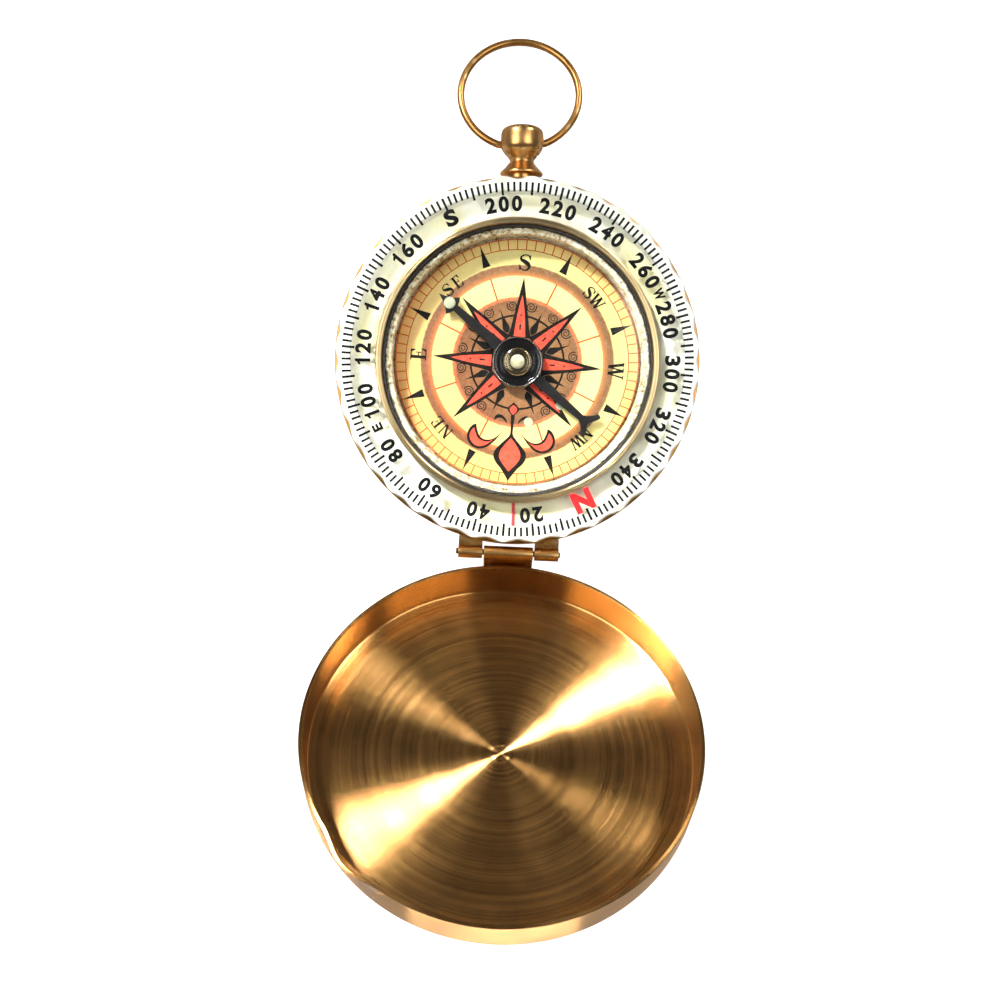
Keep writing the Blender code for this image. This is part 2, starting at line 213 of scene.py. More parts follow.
def finished(name, bm, finish, body, replaces=(), place=None, crease=30.0):
    """Carries a shape to its place, makes it an object in metres and rides it on a body."""
    if place is not None:
        bm.transform(place)
    bm.transform(Matrix.Scale(MM, 4))
    mesh = as_mesh(name, bm)
    mesh.materials.append(finish)
    mesh.shade_smooth()
    mesh.set_sharp_from_angle(angle=math.radians(crease))
    piece = added(name, mesh)
    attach(piece, body)
    if replaces:
        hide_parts(*replaces)
    print(f"{name}: {len(mesh.polygons)} faces, rides on {body}")


# %% [markdown]
# ## Helpers for node trees
# Shader and geometry trees are easier to read when one line makes a node and wires it. Each
# input is given a number, a colour, or another node's output; the small helpers find the tree
# from the output they are handed.


# %% One line per node
def plug(made, inputs):
    """Links each input that is another node's output, and sets the others."""
    for key, value in inputs.items():
        if isinstance(value, bpy.types.NodeSocket):
            made.id_data.links.new(value, made.inputs[key])
        else:
            made.inputs[key].default_value = value


def node(tree, kind, inputs=None, out=0, **settings):
    made = tree.nodes.new(kind)
    for key, value in settings.items():
        setattr(made, key, value)
    plug(made, inputs or {})
    return made.outputs[out]


def maths(operation, a, b=0.0, clamp=False):
    tree = (a if isinstance(a, bpy.types.NodeSocket) else b).id_data
    return node(tree, "ShaderNodeMath", {0: a, 1: b}, operation=operation, use_clamp=clamp)


def plus(a, b):
    return maths("ADD", a, b)


def minus(a, b, clamp=False):
    return maths("SUBTRACT", a, b, clamp)


def times(a, b, clamp=False):
    return maths("MULTIPLY", a, b, clamp)


def vectors(operation, a, b=None):
    """Vector maths; a length or a dot product is a plain number."""
    inputs = {0: a} if b is None else {0: a, 3 if operation == "SCALE" else 1: b}
    return node(a.id_data, "ShaderNodeVectorMath", inputs, operation=operation,
                out=1 if operation in ("LENGTH", "DOT_PRODUCT") else 0)


def from_axis(where):
    """How far a point is from the Z axis, and in which direction."""
    flat = vectors("MULTIPLY", where, (1.0, 1.0, 0.0))
    return vectors("LENGTH", flat), vectors("NORMALIZE", flat)


def noise(where, scale, detail=2.0, rough=0.5, out=0):
    return node(where.id_data, "ShaderNodeTexNoise", {
        "Vector": where, "Scale": scale, "Detail": detail, "Roughness": rough}, out)


def blended(factor, a, b, how="MIX"):
    return node(a.id_data, "ShaderNodeMix", {0: factor, 6: a, 7: b}, out=2,
                data_type="RGBA", blend_type=how)


def ramp(value, stops):
    made = value.id_data.nodes.new("ShaderNodeValToRGB")
    while len(made.color_ramp.elements) < len(stops):
        made.color_ramp.elements.new(0.5)
    for element, (at, colour) in zip(made.color_ramp.elements, stops):
        element.position = at
        element.color = (*colour, 1.0) if len(colour) == 3 else colour
    plug(made, {0: value})
    return made.outputs[0]


def rgb(red, green, blue):
    """A colour named by its screen values, 0 to 255, turned to linear light."""
    def straight(v):
        v /= 255.0
        return v / 12.92 if v <= 0.04045 else ((v + 0.055) / 1.055) ** 2.4
    return (straight(red), straight(green), straight(blue), 1.0)


def group_tree(name, kind, inputs, outputs):
    """Starts a node group; sockets are (label, kind, first value)."""
    tree = bpy.data.node_groups.new(name, kind)
    for label, socket, value in inputs:
        made = tree.interface.new_socket(label, in_out="INPUT", socket_type="NodeSocket" + socket)
        if value is not None:
            made.default_value = value
    for label, socket in outputs:
        tree.interface.new_socket(label, in_out="OUTPUT", socket_type="NodeSocket" + socket)
    return tree, tree.nodes.new("NodeGroupInput").outputs, tree.nodes.new("NodeGroupOutput")


def show(tree):
    print("tree:", tree.name, len(tree.nodes), "nodes")


# %% [markdown]
# ## Finishing effects as node groups
# Four effects are shared by many finishes. Turning marks are fine rings about an axis, left by
# the lathe and the brush. Handling marks are faint cloudy smears and short scratches. Worn
# edges are the bright rubbed corners. Specks are stray dots of dust or ink. Each is one group
# with named inputs, built once, that puts out only masks and heights.

# %% Turning marks
turning_marks, g_in, g_out = group_tree(
    "Turning marks", "ShaderNodeTree",
    [("Vector", "Vector", None), ("Rings per metre", "Float", 4000.0),
     ("Broken rings", "Float", 0.6)],
    [("Streak", "Float"), ("Height", "Float"), ("Radius", "Float")])
radius, across = from_axis(g_in["Vector"])
spun = node(turning_marks, "ShaderNodeCombineXYZ", {2: times(radius, g_in["Rings per metre"])})
spun = vectors("ADD", spun, vectors("SCALE", across, g_in["Broken rings"]))
fine, coarse = noise(spun, 1.0, 3.0, 0.65), noise(spun, 0.17)
plug(g_out, {"Streak": plus(times(fine, 0.6), times(coarse, 0.4)), "Height": fine,
             "Radius": radius})
show(turning_marks)

# %% Handling marks
handling, g_in, g_out = group_tree(
    "Handling marks", "ShaderNodeTree",
    [("Vector", "Vector", None), ("Cloud scale", "Float", 180.0),
     ("Scratch scale", "Float", 900.0)],
    [("Cloud", "Float"), ("Scratch", "Float")])
where = g_in["Vector"]
bent = vectors("ADD", vectors("SCALE", noise(where, 120.0, out=1), 0.004), where)
lines = node(handling, "ShaderNodeTexVoronoi", {"Vector": bent, "Scale": g_in["Scratch scale"]},
             feature="DISTANCE_TO_EDGE")
lines = minus(1.0, times(lines, 28.0, True), True)
patch = times(minus(noise(where, 700.0), 0.55, True), 6.0, True)
plug(g_out, {"Cloud": noise(where, g_in["Cloud scale"], 4.0, 0.6),
             "Scratch": times(lines, patch)})
show(handling)

# %% Worn edges
worn_edges, g_in, g_out = group_tree(
    "Worn edges", "ShaderNodeTree",
    [("Vector", "Vector", None), ("From", "Float", 0.52), ("Ragged scale", "Float", 1500.0)],
    [("Mask", "Float")])
point = node(worn_edges, "ShaderNodeNewGeometry", out="Pointiness")
ragged = times(minus(noise(g_in["Vector"], g_in["Ragged scale"], 3.0), 0.5), 0.05)
edge = minus(plus(point, ragged), g_in["From"], True)
plug(g_out, {"Mask": times(edge, 14.0, True)})
show(worn_edges)

# %% Specks
specks, g_in, g_out = group_tree(
    "Specks", "ShaderNodeTree",
    [("Vector", "Vector", None), ("Scale", "Float", 900.0), ("Size", "Float", 0.12),
     ("Share", "Float", 0.2)],
    [("Mask", "Float")])
cell = {"Vector": g_in["Vector"], "Scale": g_in["Scale"]}
dots = maths("LESS_THAN", node(specks, "ShaderNodeTexVoronoi", cell), g_in["Size"])
owner = node(specks, "ShaderNodeTexVoronoi", cell, out="Color")
chosen = maths("LESS_THAN", node(specks, "ShaderNodeSeparateColor", {0: owner}), g_in["Share"])
plug(g_out, {"Mask": times(dots, chosen)})
show(specks)


# %% [markdown]
# ## Brass
# Brass shows up in three finishes: brushed in rings on the case and the lid, polished on the
# pendant and the bow, and plain on the hinge. All are one recipe with other values. The rings
# need to know the part's own axis, so a Mapping node turns the object's coordinates into the
# coordinates of the lathe. Brushing also stretches highlights across the grooves: the shader's
# anisotropy does it, spreading light along a tangent that points away from the axis. The
# tangent is turned from the object's own directions to the world's, so it follows the lid.


# %% The brass recipe
def start_material(name):
    made = bpy.data.materials.new(name)
    made.use_nodes = True
    tree = made.node_tree
    return made, tree, tree.nodes["Principled BSDF"], node(tree, "ShaderNodeTexCoord",
                                                           out="Object")


def use_group(group, where, others=None):
    made = where.id_data.nodes.new("ShaderNodeGroup")
    made.node_tree = group
    plug(made, {"Vector": where, **(others or {})})
    return made.outputs


def bump(shader, height, depth):
    """Depth is in millimetres."""
    plug(shader, {"Normal": node(shader.id_data, "ShaderNodeBump", {
        "Height": height, "Distance": depth * MM, "Strength": 1.0})})


def brass(name, axis=None, dark=(150, 98, 44), light=(236, 190, 112), rough=0.3, rings=4200.0,
          groove=0.004, brushed=0.75, worn_from=0.52):
    made, tree, shader, where = start_material(name)
    if axis is not None:
        back = axis.inverted()
        back.translation *= MM
        where = node(tree, "ShaderNodeMapping",
                     {"Vector": where, "Location": back.to_translation(),
                      "Rotation": back.to_euler()})
    marks = use_group(turning_marks, where, {"Rings per metre": rings, "Broken rings": 0.3})
    touch = use_group(handling, where)
    wear = use_group(worn_edges, where, {"From": worn_from})
    streak, cloud = marks["Streak"], touch["Cloud"]
    tone = ramp(plus(times(streak, 0.75), times(cloud, 0.25)),
                [(0.3, rgb(*dark)), (0.66, rgb(*light))])
    plug(shader, {"Base Color": blended(times(wear["Mask"], 0.5), tone, rgb(255, 226, 160)),
                  "Roughness": plus(plus(rough - 0.1, times(cloud, 0.12)), times(streak, 0.1)),
                  "Metallic": 1.0})
    bump(shader, minus(marks["Height"], times(touch["Scratch"], 0.8)), groove)
    if brushed:
        origin = Vector() if axis is None else axis.translation * MM
        arm = vectors("SUBTRACT", node(tree, "ShaderNodeTexCoord", out="Object"), origin)
        arm = node(tree, "ShaderNodeVectorTransform", {0: arm}, vector_type="VECTOR",
                   convert_from="OBJECT", convert_to="WORLD")
        plug(shader, {"Anisotropic": brushed, "Tangent": vectors("NORMALIZE", arm)})
    return made


case_brass = brass("case_brass")
lid_brass = brass("lid_brass", axis=TO_LID, dark=(148, 104, 58), light=(228, 176, 106),
                  rough=0.22, rings=4800.0, groove=0.0012, brushed=1.0, worn_from=9.0)
knob_brass = brass("knob_brass", axis=TO_PENDANT, dark=(148, 98, 50), light=(226, 176, 110),
                   rough=0.27, groove=0.002, brushed=0.0)
wire_brass = brass("wire_brass", dark=(136, 88, 42), light=(206, 150, 84), rough=0.3,
                   rings=300.0, groove=0.001, brushed=0.0)
hinge_brass = brass("hinge_brass", dark=(150, 96, 44), light=(226, 168, 92), rough=0.28,
                    rings=900.0, groove=0.002, brushed=0.0)
ring_brass = brass("ring_brass", dark=(190, 160, 112), light=(236, 218, 172), rough=0.3,
                   rings=9000.0, groove=0.004)
print("brass finishes made")


# %% [markdown]
# ## Clear plastic, inks and paints
# The clear parts don't need real refraction: light that meets them mostly goes straight
# through, and a little mirrors off by the Fresnel law. So they mix a transparent shader with a
# glossy one, on the outer side of each wall only. Inks and paints are plain colours on the
# real thing, but never quite even: a little grain and a few specks keep them from looking like
# flat fills.


# %% Clear and painted recipes
def clear_plastic(name, tint=(0.97, 0.98, 0.96), milk=0.0, milk_from=0.0,
                  milk_colour=(222, 224, 212), rough=0.06):
    """Milk is how cloudy the plastic looks from the given radius outwards, in mm."""
    made, tree, shader, where = start_material(name)
    marks, touch = use_group(turning_marks, where), use_group(handling, where)
    plug(shader, {"Base Color": ramp(touch["Cloud"], [(0.3, rgb(*milk_colour)),
                                                      (0.7, rgb(246, 247, 240))]),
                  "Roughness": plus(rough, times(touch["Scratch"], 0.2))})
    bump(shader, touch["Cloud"], 0.002)
    see = node(tree, "ShaderNodeBsdfTransparent", {"Color": (*tint, 1.0)})
    cloudy = times(maths("GREATER_THAN", marks["Radius"], milk_from * MM), milk)
    body = node(tree, "ShaderNodeMixShader", {0: cloudy, 1: see, 2: shader.outputs[0]})
    gloss = node(tree, "ShaderNodeBsdfGlossy", {"Color": (1.0, 1.0, 1.0, 1.0),
                                                "Roughness": rough * 3.0})
    inside = node(tree, "ShaderNodeNewGeometry", out="Backfacing")
    mirror = times(node(tree, "ShaderNodeFresnel", {"IOR": 1.49}), minus(1.0, inside))
    mixed = node(tree, "ShaderNodeMixShader", {0: mirror, 1: body, 2: gloss})
    plug(tree.nodes["Material Output"], {"Surface": mixed})
    return made


def painted(name, colour, second, rough=0.45, speck_colour=None, metallic=0.0, coat=0.0,
            relief=0.002, gloss=0.5):
    """An ink, paint or moulded colour with a fine uneven grain and a few specks."""
    made, _, shader, where = start_material(name)
    speck_colour = speck_colour or tuple(int(v * 0.7) for v in colour)
    cloud = noise(where, 1400.0, 4.0, 0.6)
    dots = use_group(specks, where, {"Share": 0.06})
    fill = ramp(cloud, [(0.32, rgb(*colour)), (0.68, rgb(*second))])
    plug(shader, {"Base Color": blended(times(dots["Mask"], 0.6), fill, rgb(*speck_colour)),
                  "Roughness": plus(rough - 0.06, times(cloud, 0.12)), "Metallic": metallic,
                  "Coat Weight": coat, "Specular IOR Level": gloss})
    bump(shader, cloud, relief)
    return made


black_ink = painted("black_ink", (15, 14, 13), (30, 28, 26), rough=0.5, gloss=0.1)
scale_black = painted("scale_black", (8, 8, 8), (22, 22, 22), rough=0.4, gloss=0.1)
scale_red = painted("scale_red", (214, 22, 26), (236, 40, 38), rough=0.4, gloss=0.2)
coral_ink = painted("coral_ink", (216, 70, 52), (234, 94, 72), rough=0.5, gloss=0.1,
                    speck_colour=(120, 30, 24))
line_ink = painted("line_ink", (178, 72, 30), (204, 100, 50), rough=0.5, gloss=0.1)
index_red = painted("index_red", (214, 40, 60), (232, 72, 84), rough=0.5)
rubber = painted("rubber", (14, 12, 11), (30, 27, 24), rough=0.55, relief=0.01)
needle_black = painted("needle_black", (12, 12, 12), (26, 25, 25), rough=0.3, coat=0.3)
hub_black = painted("hub_black", (6, 6, 6), (14, 13, 13), rough=0.14, coat=0.6, relief=0.0006)
lume_paint = painted("lume_paint", (160, 164, 138), (186, 190, 160), rough=0.5, relief=0.02)
steel = painted("steel", (150, 150, 152), (196, 196, 198), rough=0.25, metallic=1.0)
dark_steel = painted("dark_steel", (62, 54, 46), (96, 84, 70), rough=0.35, metallic=1.0)
window_clear = clear_plastic("window_clear", tint=(0.99, 0.99, 0.985), rough=0.03)
bezel_clear = clear_plastic("bezel_clear", tint=(0.99, 0.99, 0.975), milk=0.62, milk_from=22.25,
                            milk_colour=(228, 230, 214))
# The pads' frosting is the plastic's own; their grey olive tint is painted shade for the clear
# grip bumps.
lobe_frost_and_shade = clear_plastic("lobe_frost_and_shade", milk=0.55, milk_colour=(190, 190, 156), rough=0.3)
print("inks, paints and clear finishes made")

# %% [markdown]
# ## Repeating marks with Geometry Nodes
# Scale ticks, graduation lines, wedges, star points and grip lobes all repeat round a circle.
# One tree does them all: it takes the single mark that the object's mesh holds, drawn where
# the first one belongs, and repeats it at equal steps about Z, skipping every so-manyth copy
# if asked. It ends by turning the copies into real mesh and giving them their material.

# %% The round array tree
round_array, g_in, g_out = group_tree(
    "Round array", "GeometryNodeTree",
    [("Geometry", "Geometry", None), ("Count", "Int", 36), ("First angle", "Float", 0.0),
     ("Skip every", "Int", 0), ("Size jitter", "Float", 0.0), ("Turn jitter", "Float", 0.0),
     ("Seed", "Int", 7), ("Finish", "Material", None)],
    [("Geometry", "Geometry")])
one_mark = node(round_array, "GeometryNodeGeometryToInstance", {0: g_in["Geometry"]})
spots = node(round_array, "GeometryNodePoints", {"Count": g_in["Count"]})
index = node(round_array, "GeometryNodeInputIndex")
jitter = node(round_array, "FunctionNodeRandomValue",
              {2: -1.0, 3: 1.0, "ID": index, "Seed": g_in["Seed"]}, out=1, data_type="FLOAT")
angle = plus(times(index, maths("DIVIDE", math.tau, g_in["Count"])), g_in["First angle"])
angle = plus(angle, times(jitter, g_in["Turn jitter"]))
size = plus(1.0, times(jitter, g_in["Size jitter"]))
copies = node(round_array, "GeometryNodeInstanceOnPoints", {
    "Points": spots, "Instance": one_mark,
    "Rotation": node(round_array, "ShaderNodeCombineXYZ", {2: angle}),
    "Scale": node(round_array, "ShaderNodeCombineXYZ", {0: 1.0, 1: size, 2: 1.0})})
left_over = maths("MODULO", index, maths("MAXIMUM", g_in["Skip every"], 1))
left_over = node(round_array, "FunctionNodeCompare", {2: left_over, 3: 0}, data_type="INT",
                 operation="EQUAL")
skipping = node(round_array, "FunctionNodeCompare", {2: g_in["Skip every"], 3: 0},
                data_type="INT", operation="GREATER_THAN")
dropped = node(round_array, "FunctionNodeBooleanMath", {0: left_over, 1: skipping},
               operation="AND")
kept = node(round_array, "GeometryNodeDeleteGeometry", {0: copies, 1: dropped},
            domain="INSTANCE")
solid = node(round_array, "GeometryNodeRealizeInstances", {0: kept})
plug(g_out, {"Geometry": node(round_array, "GeometryNodeSetMaterial",
                              {"Geometry": solid, "Material": g_in["Finish"]})})
show(round_array)


# %% Baking a tree to a plain mesh
def grown(name, bm, tree, values):
    """Runs a geometry tree on a shape in millimetres and returns the plain result."""
    seedling = added(name, as_mesh(name, bm))
    step = seedling.modifiers.new("grow", "NODES")
    step.node_group = tree
    for item in tree.interface.items_tree:
        if item.in_out == "INPUT" and item.name in values:
            step[item.identifier] = values[item.name]
    return settled(seedling)


def ringed(name, outlines, low, high, count, finish, body, place=None, first=0.0, skip=0,
           size_jitter=0.0, turn_jitter=0.0):
    bm = grown(name, raised(outlines, low, high), round_array,
               {"Count": count, "First angle": first, "Skip every": skip,
                "Size jitter": size_jitter, "Turn jitter": turn_jitter, "Finish": finish})
    finished(name, bm, finish, body, place=place)


# %% [markdown]
# ## The case
# The case is a shallow brass cup, turned and brushed, with a thin flange that carries the
# bezel. Only its rim shows from above, but its wall and back show from the side, so the foot
# of the wall is rounded and the back gets a shallow turned groove and a faint dished centre.
# Its outline is drawn once and spun.

# %% Case
case_outline = [
    (0.0, 0.12), (8.0, 0.06), (19.6, 0.0), (20.2, 0.14), (20.8, 0.0), (21.3, 0.0),
    (22.1, 0.12), (22.8, 0.5), (23.4, 1.1), (23.75, 1.8), (23.9, 2.5),
    (23.9, 7.3), (24.53, 7.3), (24.6, 7.4), (24.6, 7.75), (24.48, 7.9), (22.9, 7.9),
    (22.9, 1.0), (0.0, 1.0)]
finished("case_cup", turned(soften(case_outline, 0.12), WIDE_STEPS), case_brass, "case",
         replaces=("case_body",))

# %% [markdown]
# ## The pendant
# The pendant is a turned knob with a round shoulder, a waist and a flared foot. It is polished,
# so its curves must be smooth: the maker's stations are joined by a smooth curve instead of
# straight lines. The bow's ends enter two shallow holes in its sides, cut by a Boolean.


# %% Cutting helper and bars
def carved(bm, tool, operation="DIFFERENCE"):
    """Cuts one shape from another, or joins them, and returns the plain result."""
    work, cutter = added("work", as_mesh("work", bm)), added("tool", as_mesh("tool", tool))
    step = work.modifiers.new("cut", "BOOLEAN")
    step.operation, step.solver, step.object = operation, "EXACT", cutter
    out = settled(work)
    bpy.data.objects.remove(cutter, do_unlink=True)
    bmesh.ops.remove_doubles(out, verts=out.verts, dist=1e-5)
    return out


def bar(radius, start, end, y=0.0, z=0.0, edge=0.08):
    """A round bar along X with softened ends."""
    bm = turned(soften(slab(0.0, start, radius, end), edge), 40)
    bm.transform(rotation(90.0, "Y"))
    bm.transform(Matrix.Translation((0.0, y, z)))
    return bm


# %% Pendant
knob = turned([(0.0, 24.3), (2.0, 24.3), (2.0, 25.22)] + curve_through(
    [(2.62, 25.24), (2.88, 25.4), (2.82, 25.66), (2.3, 26.2), (1.85, 26.75), (1.63, 27.15),
     (1.85, 27.62), (2.45, 28.3), (2.8, 28.9), (2.9, 29.6), (2.9, 30.3), (2.8, 31.05),
     (2.4, 31.52), (1.5, 31.83), (0.0, 31.95)], 5), 96)
for side in (-1.0, 1.0):
    knob = carved(knob, bar(0.66, *sorted((side * 1.5, side * 4.0)), z=PIVOT.y))
finished("pendant_knob", knob, knob_brass, "case", replaces=("pendant",), place=TO_PENDANT,
         crease=40.0)

# %% [markdown]
# ## The bow
# The bow is one length of brass wire bent into a ring, its ends turned in as pivots in the
# knob. Round wire is a circle swept along a path, so the path comes first: pivot, a quick bend,
# the long ring, and back. The ends taper a little.

# %% Bow
BOW_RADIUS, BOW_CENTRE, BOW_START, BOW_SWEEP = 8.085, 7.57, 23.0, 314.0
WIRE_RADIUS, WIRE_END, WIRE_STEPS = 0.48, 0.4, 28
bow_path = [(1.75, 0.0), (1.85, 0.0), (2.2, 0.0), (2.5, 0.01), (2.72, 0.03), (2.9, 0.1)]
pivot_end = bow_path[::-1]
for k in range(151):
    a = math.radians(BOW_START + BOW_SWEEP * k / 150.0)
    bow_path.append((BOW_RADIUS * math.sin(a), BOW_CENTRE - BOW_RADIUS * math.cos(a)))
bow_path += [(-x, y) for x, y in pivot_end]
bow, loops, last = bmesh.new(), [], len(bow_path) - 1
for i, (x, y) in enumerate(bow_path):
    ahead, behind = Vector(bow_path[min(i + 1, last)]), Vector(bow_path[max(i - 1, 0)])
    along = (ahead - behind).normalized()
    thick = WIRE_END if i in (0, last) else WIRE_RADIUS
    loops.append([bow.verts.new((x + along.y * out * thick, y - along.x * out * thick,
                                 up * thick))
                  for out, up in circle(0.0, 0.0, 1.0, WIRE_STEPS)])
finished("bow_wire", skinned(bow, loops), wire_brass, "bow", replaces=("bow_ring",),
         place=TO_BOW)

# %% [markdown]
# ## The lid
# The lid is a spun brass dish, brushed in rings inside, with a centre mark from the lathe, a
# slight dome, and a thumb lip pressed out of its mouth. The lathe outline holds the dome, the
# shallow lathe grooves and the centre mark as real shape; the finer rings are in the finish.


# %% Lid
LID_FLOOR, DOME_DEPTH, DOME_RADIUS = 5.3, 1.7, 24.2
LIP_AT, LIP_HALF, LIP_TALL, LIP_PUSH = 133.0, 12.0, 1.6, 0.85


def dome(radius):
    """How much deeper than its edge the lid is at a radius."""
    return DOME_DEPTH * (1.0 - (radius / DOME_RADIUS) ** 2)


def lathe_marks(start, end, seed):
    """Stations across the domed floor, with shallow lathe grooves at uneven spacing."""
    dice = random.Random(seed)
    stations, mark = [], start
    while mark > end:
        cut = dice.uniform(0.0006, 0.003)
        for across, depth in ((0.0, 0.0), (0.05, cut), (0.1, 0.0)):
            stations.append((mark - across, LID_FLOOR + dome(mark - across) + depth))
        mark -= dice.uniform(0.35, 1.1)
    return stations


lid_outline = [(r, 6.1 + dome(r)) for r in (0.0, 2.5, 5.0, 7.5, 10.0, 12.5, 15.0, 17.0, 19.0,
                                            20.5, 22.0)]
lid_outline += [(22.9, 6.2), (23.6, 6.0), (24.1, 5.83), (24.5, 5.6), (24.82, 5.26), (24.97, 4.9),
                (25.0, 4.6)]
lid_outline += [(25.0, LIP_TALL - 0.1 * k) for k in range(16)] + [(24.93, 0.0), (24.57, 0.0)]
lid_outline += [(24.5, 0.1 + 0.1 * k) for k in range(16)]
lid_outline += [(24.5, 4.7), (24.46, 5.0), (24.36, 5.18), (24.22, 5.27), (24.05, 5.32),
                (22.94, 5.46), (22.92, 5.58), (22.82, 5.58), (22.8, 5.49),
                (22.3, LID_FLOOR + dome(22.3))]
lid_outline += lathe_marks(22.0, 1.4, 11)
lid_outline += [(1.28, 6.995), (1.18, 7.03), (1.08, 6.997), (0.75, 6.998), (0.66, 7.0),
                (0.55, 7.01), (0.47, 6.99), (0.2, 7.0), (0.12, 7.03), (0.0, 7.06)]
lid = turned(lid_outline, WIDE_STEPS)
for v in lid.verts:
    r = math.hypot(v.co.x, v.co.y)
    off = abs(math.degrees(math.atan2(v.co.y, v.co.x)) - LIP_AT) / LIP_HALF
    if r > 24.2 and v.co.z < LIP_TALL and off < 1.0:
        push = LIP_PUSH * math.cos(math.radians(90.0 * off)) ** 2 * (1.0 - v.co.z / LIP_TALL)
        v.co.x *= (r + push) / r
        v.co.y *= (r + push) / r
finished("lid_dish", lid, lid_brass, "lid", replaces=("lid_shell",), place=TO_LID)

# %% [markdown]
# ## The hinge
# Two outer knuckles stand on a curved plate on the case, the middle one on the lid's leaf, and
# a dark pin runs through all three with its end standing out. Sheet is modelled as a curved
# plate with softened edges, and each knuckle as a bar with its bore cut out. The seams between
# the knuckles stay open, as on the real hinge.


# %% Curved plate
PLATE_STEPS = 24


def curved_plate(centre_y, inner, outer, half_width, low, high):
    """A strip of sheet bent about a vertical axis, facing -Y, its edges softened."""
    bm, loops = bmesh.new(), []
    half = math.asin(half_width / outer)
    section = soften(slab(inner, low, outer, high), 0.1, 2)
    for k in range(PLATE_STEPS + 1):
        a = half * (2.0 * k / PLATE_STEPS - 1.0)
        loops.append([bm.verts.new((r * math.sin(a), centre_y - r * math.cos(a), z))
                      for r, z in section])
    return skinned(bm, loops)


# %% Bracket, leaf and pin
KNUCKLE_RADIUS, BORE_RADIUS, PIN_RADIUS = 0.9, 0.5, 0.4
bracket = curved_plate(0.0, 24.2, 24.75, 6.87, 4.6, 7.0)
for side in (-1.0, 1.0):
    near, far = sorted((side * 3.57, side * 6.87))
    web = raised([slab(near + 0.02, -25.5, far - 0.02, -23.95)], 5.85, 6.95)
    bracket = carved(bracket, web, "UNION")
    bracket = carved(bracket, bar(KNUCKLE_RADIUS, near, far, HINGE.y, HINGE.z), "UNION")
bracket = carved(bracket, bar(BORE_RADIUS, -8.0, 8.0, HINGE.y, HINGE.z, edge=0.01))
finished("hinge_bracket_plate", bracket, hinge_brass, "case", replaces=("hinge_bracket",))

leaf = curved_plate(26.0, 25.3, 25.85, 3.37, 0.0, 5.0)
leaf = carved(leaf, bar(KNUCKLE_RADIUS, -3.37, 3.37), "UNION")
leaf = carved(leaf, bar(BORE_RADIUS, -8.0, 8.0, edge=0.01))
finished("hinge_leaf_plate", leaf, hinge_brass, "lid", replaces=("lid_leaf",), place=TO_HINGE)

finished("hinge_rod", bar(PIN_RADIUS, -7.2, 7.1, HINGE.y, HINGE.z, edge=0.16), dark_steel,
         "case", replaces=("hinge_pin",))

# %% [markdown]
# ## The luminous ring and the index
# Under the clear bezel lies a flat moulded ring in a pale greenish yellow. It isn't even: the
# paint is warmer in places and nearly white in others, which is a slow noise round the ring.
# The red index line is painted on it at the hinge side.

# %% Luminous ring and index line
glow_paint, tree, shader, where = start_material("glow_paint")
marks = use_group(turning_marks, where)
slow, grain = noise(where, 90.0), noise(where, 2600.0, 3.0)
near_edge = ramp(times(marks["Radius"], 40.0),
                 [(0.745, rgb(250, 246, 218)), (0.775, rgb(240, 236, 178)),
                  (0.86, rgb(242, 238, 188)), (0.885, rgb(250, 248, 232))])
paint = blended(ramp(slow, [(0.42, (0, 0, 0)), (0.62, (1, 1, 1))]), near_edge,
                rgb(250, 250, 236))
paint = blended(0.14, paint, ramp(grain, [(0.3, rgb(190, 186, 140)), (0.7, rgb(255, 255, 246))]))
plug(shader, {"Base Color": paint, "Roughness": plus(0.42, times(grain, 0.15))})
bump(shader, grain, 0.004)
band = soften([(18.5, 1.3), (19.3, 1.3), (19.3, 8.8), (22.5, 8.8), (22.5, 9.3), (18.5, 9.3)],
              0.08, 2)
finished("glow_band", turned(band, RING_STEPS), glow_paint, "case",
         replaces=("luminous_ring",))
finished("index_line", raised([soften(slab(18.75, -0.2, 22.0, 0.2), 0.08)], 9.32, 9.45),
         index_red, "case", replaces=("index_mark",), place=rotation(-89.0))

# %% [markdown]
# ## The bezel
# The bezel is a ring of clear plastic whose rim is scalloped into 36 grip lobes, one for every
# tenth degree. The ring is spun first, then a Geometry Nodes tree draws its rim in between the
# lobes by a rule of the angle, so that the number of lobes and their depth stay inputs.

# %% The scallop tree
scallop, g_in, g_out = group_tree(
    "Scalloped rim", "GeometryNodeTree",
    [("Geometry", "Geometry", None), ("Lobes", "Float", 36.0), ("Notch depth", "Float", 0.4),
     ("From radius", "Float", 23.4), ("Finish", "Material", None)],
    [("Geometry", "Geometry")])
spot = node(scallop, "GeometryNodeInputPosition")
spot_xyz = scallop.nodes.new("ShaderNodeSeparateXYZ")
plug(spot_xyz, {0: spot})
ring_angle = maths("ARCTAN2", spot_xyz.outputs[1], spot_xyz.outputs[0])
wave = plus(0.5, times(maths("COSINE", times(ring_angle, g_in["Lobes"])), 0.5))
lobe = minus(1.0, maths("POWER", wave, 0.8), True)
out_radius, way = from_axis(spot)
reach = maths("DIVIDE", minus(out_radius, g_in["From radius"]), 0.6, True)
inwards = times(times(lobe, reach), g_in["Notch depth"])
cut = node(scallop, "GeometryNodeSetPosition", {
    "Geometry": g_in["Geometry"], "Offset": vectors("SCALE", way, times(inwards, -1.0))})
whole_rim = node(scallop, "GeometryNodeRealizeInstances", {0: cut})
plug(g_out, {"Geometry": node(scallop, "GeometryNodeSetMaterial",
                              {"Geometry": whole_rim, "Material": g_in["Finish"]})})
show(scallop)
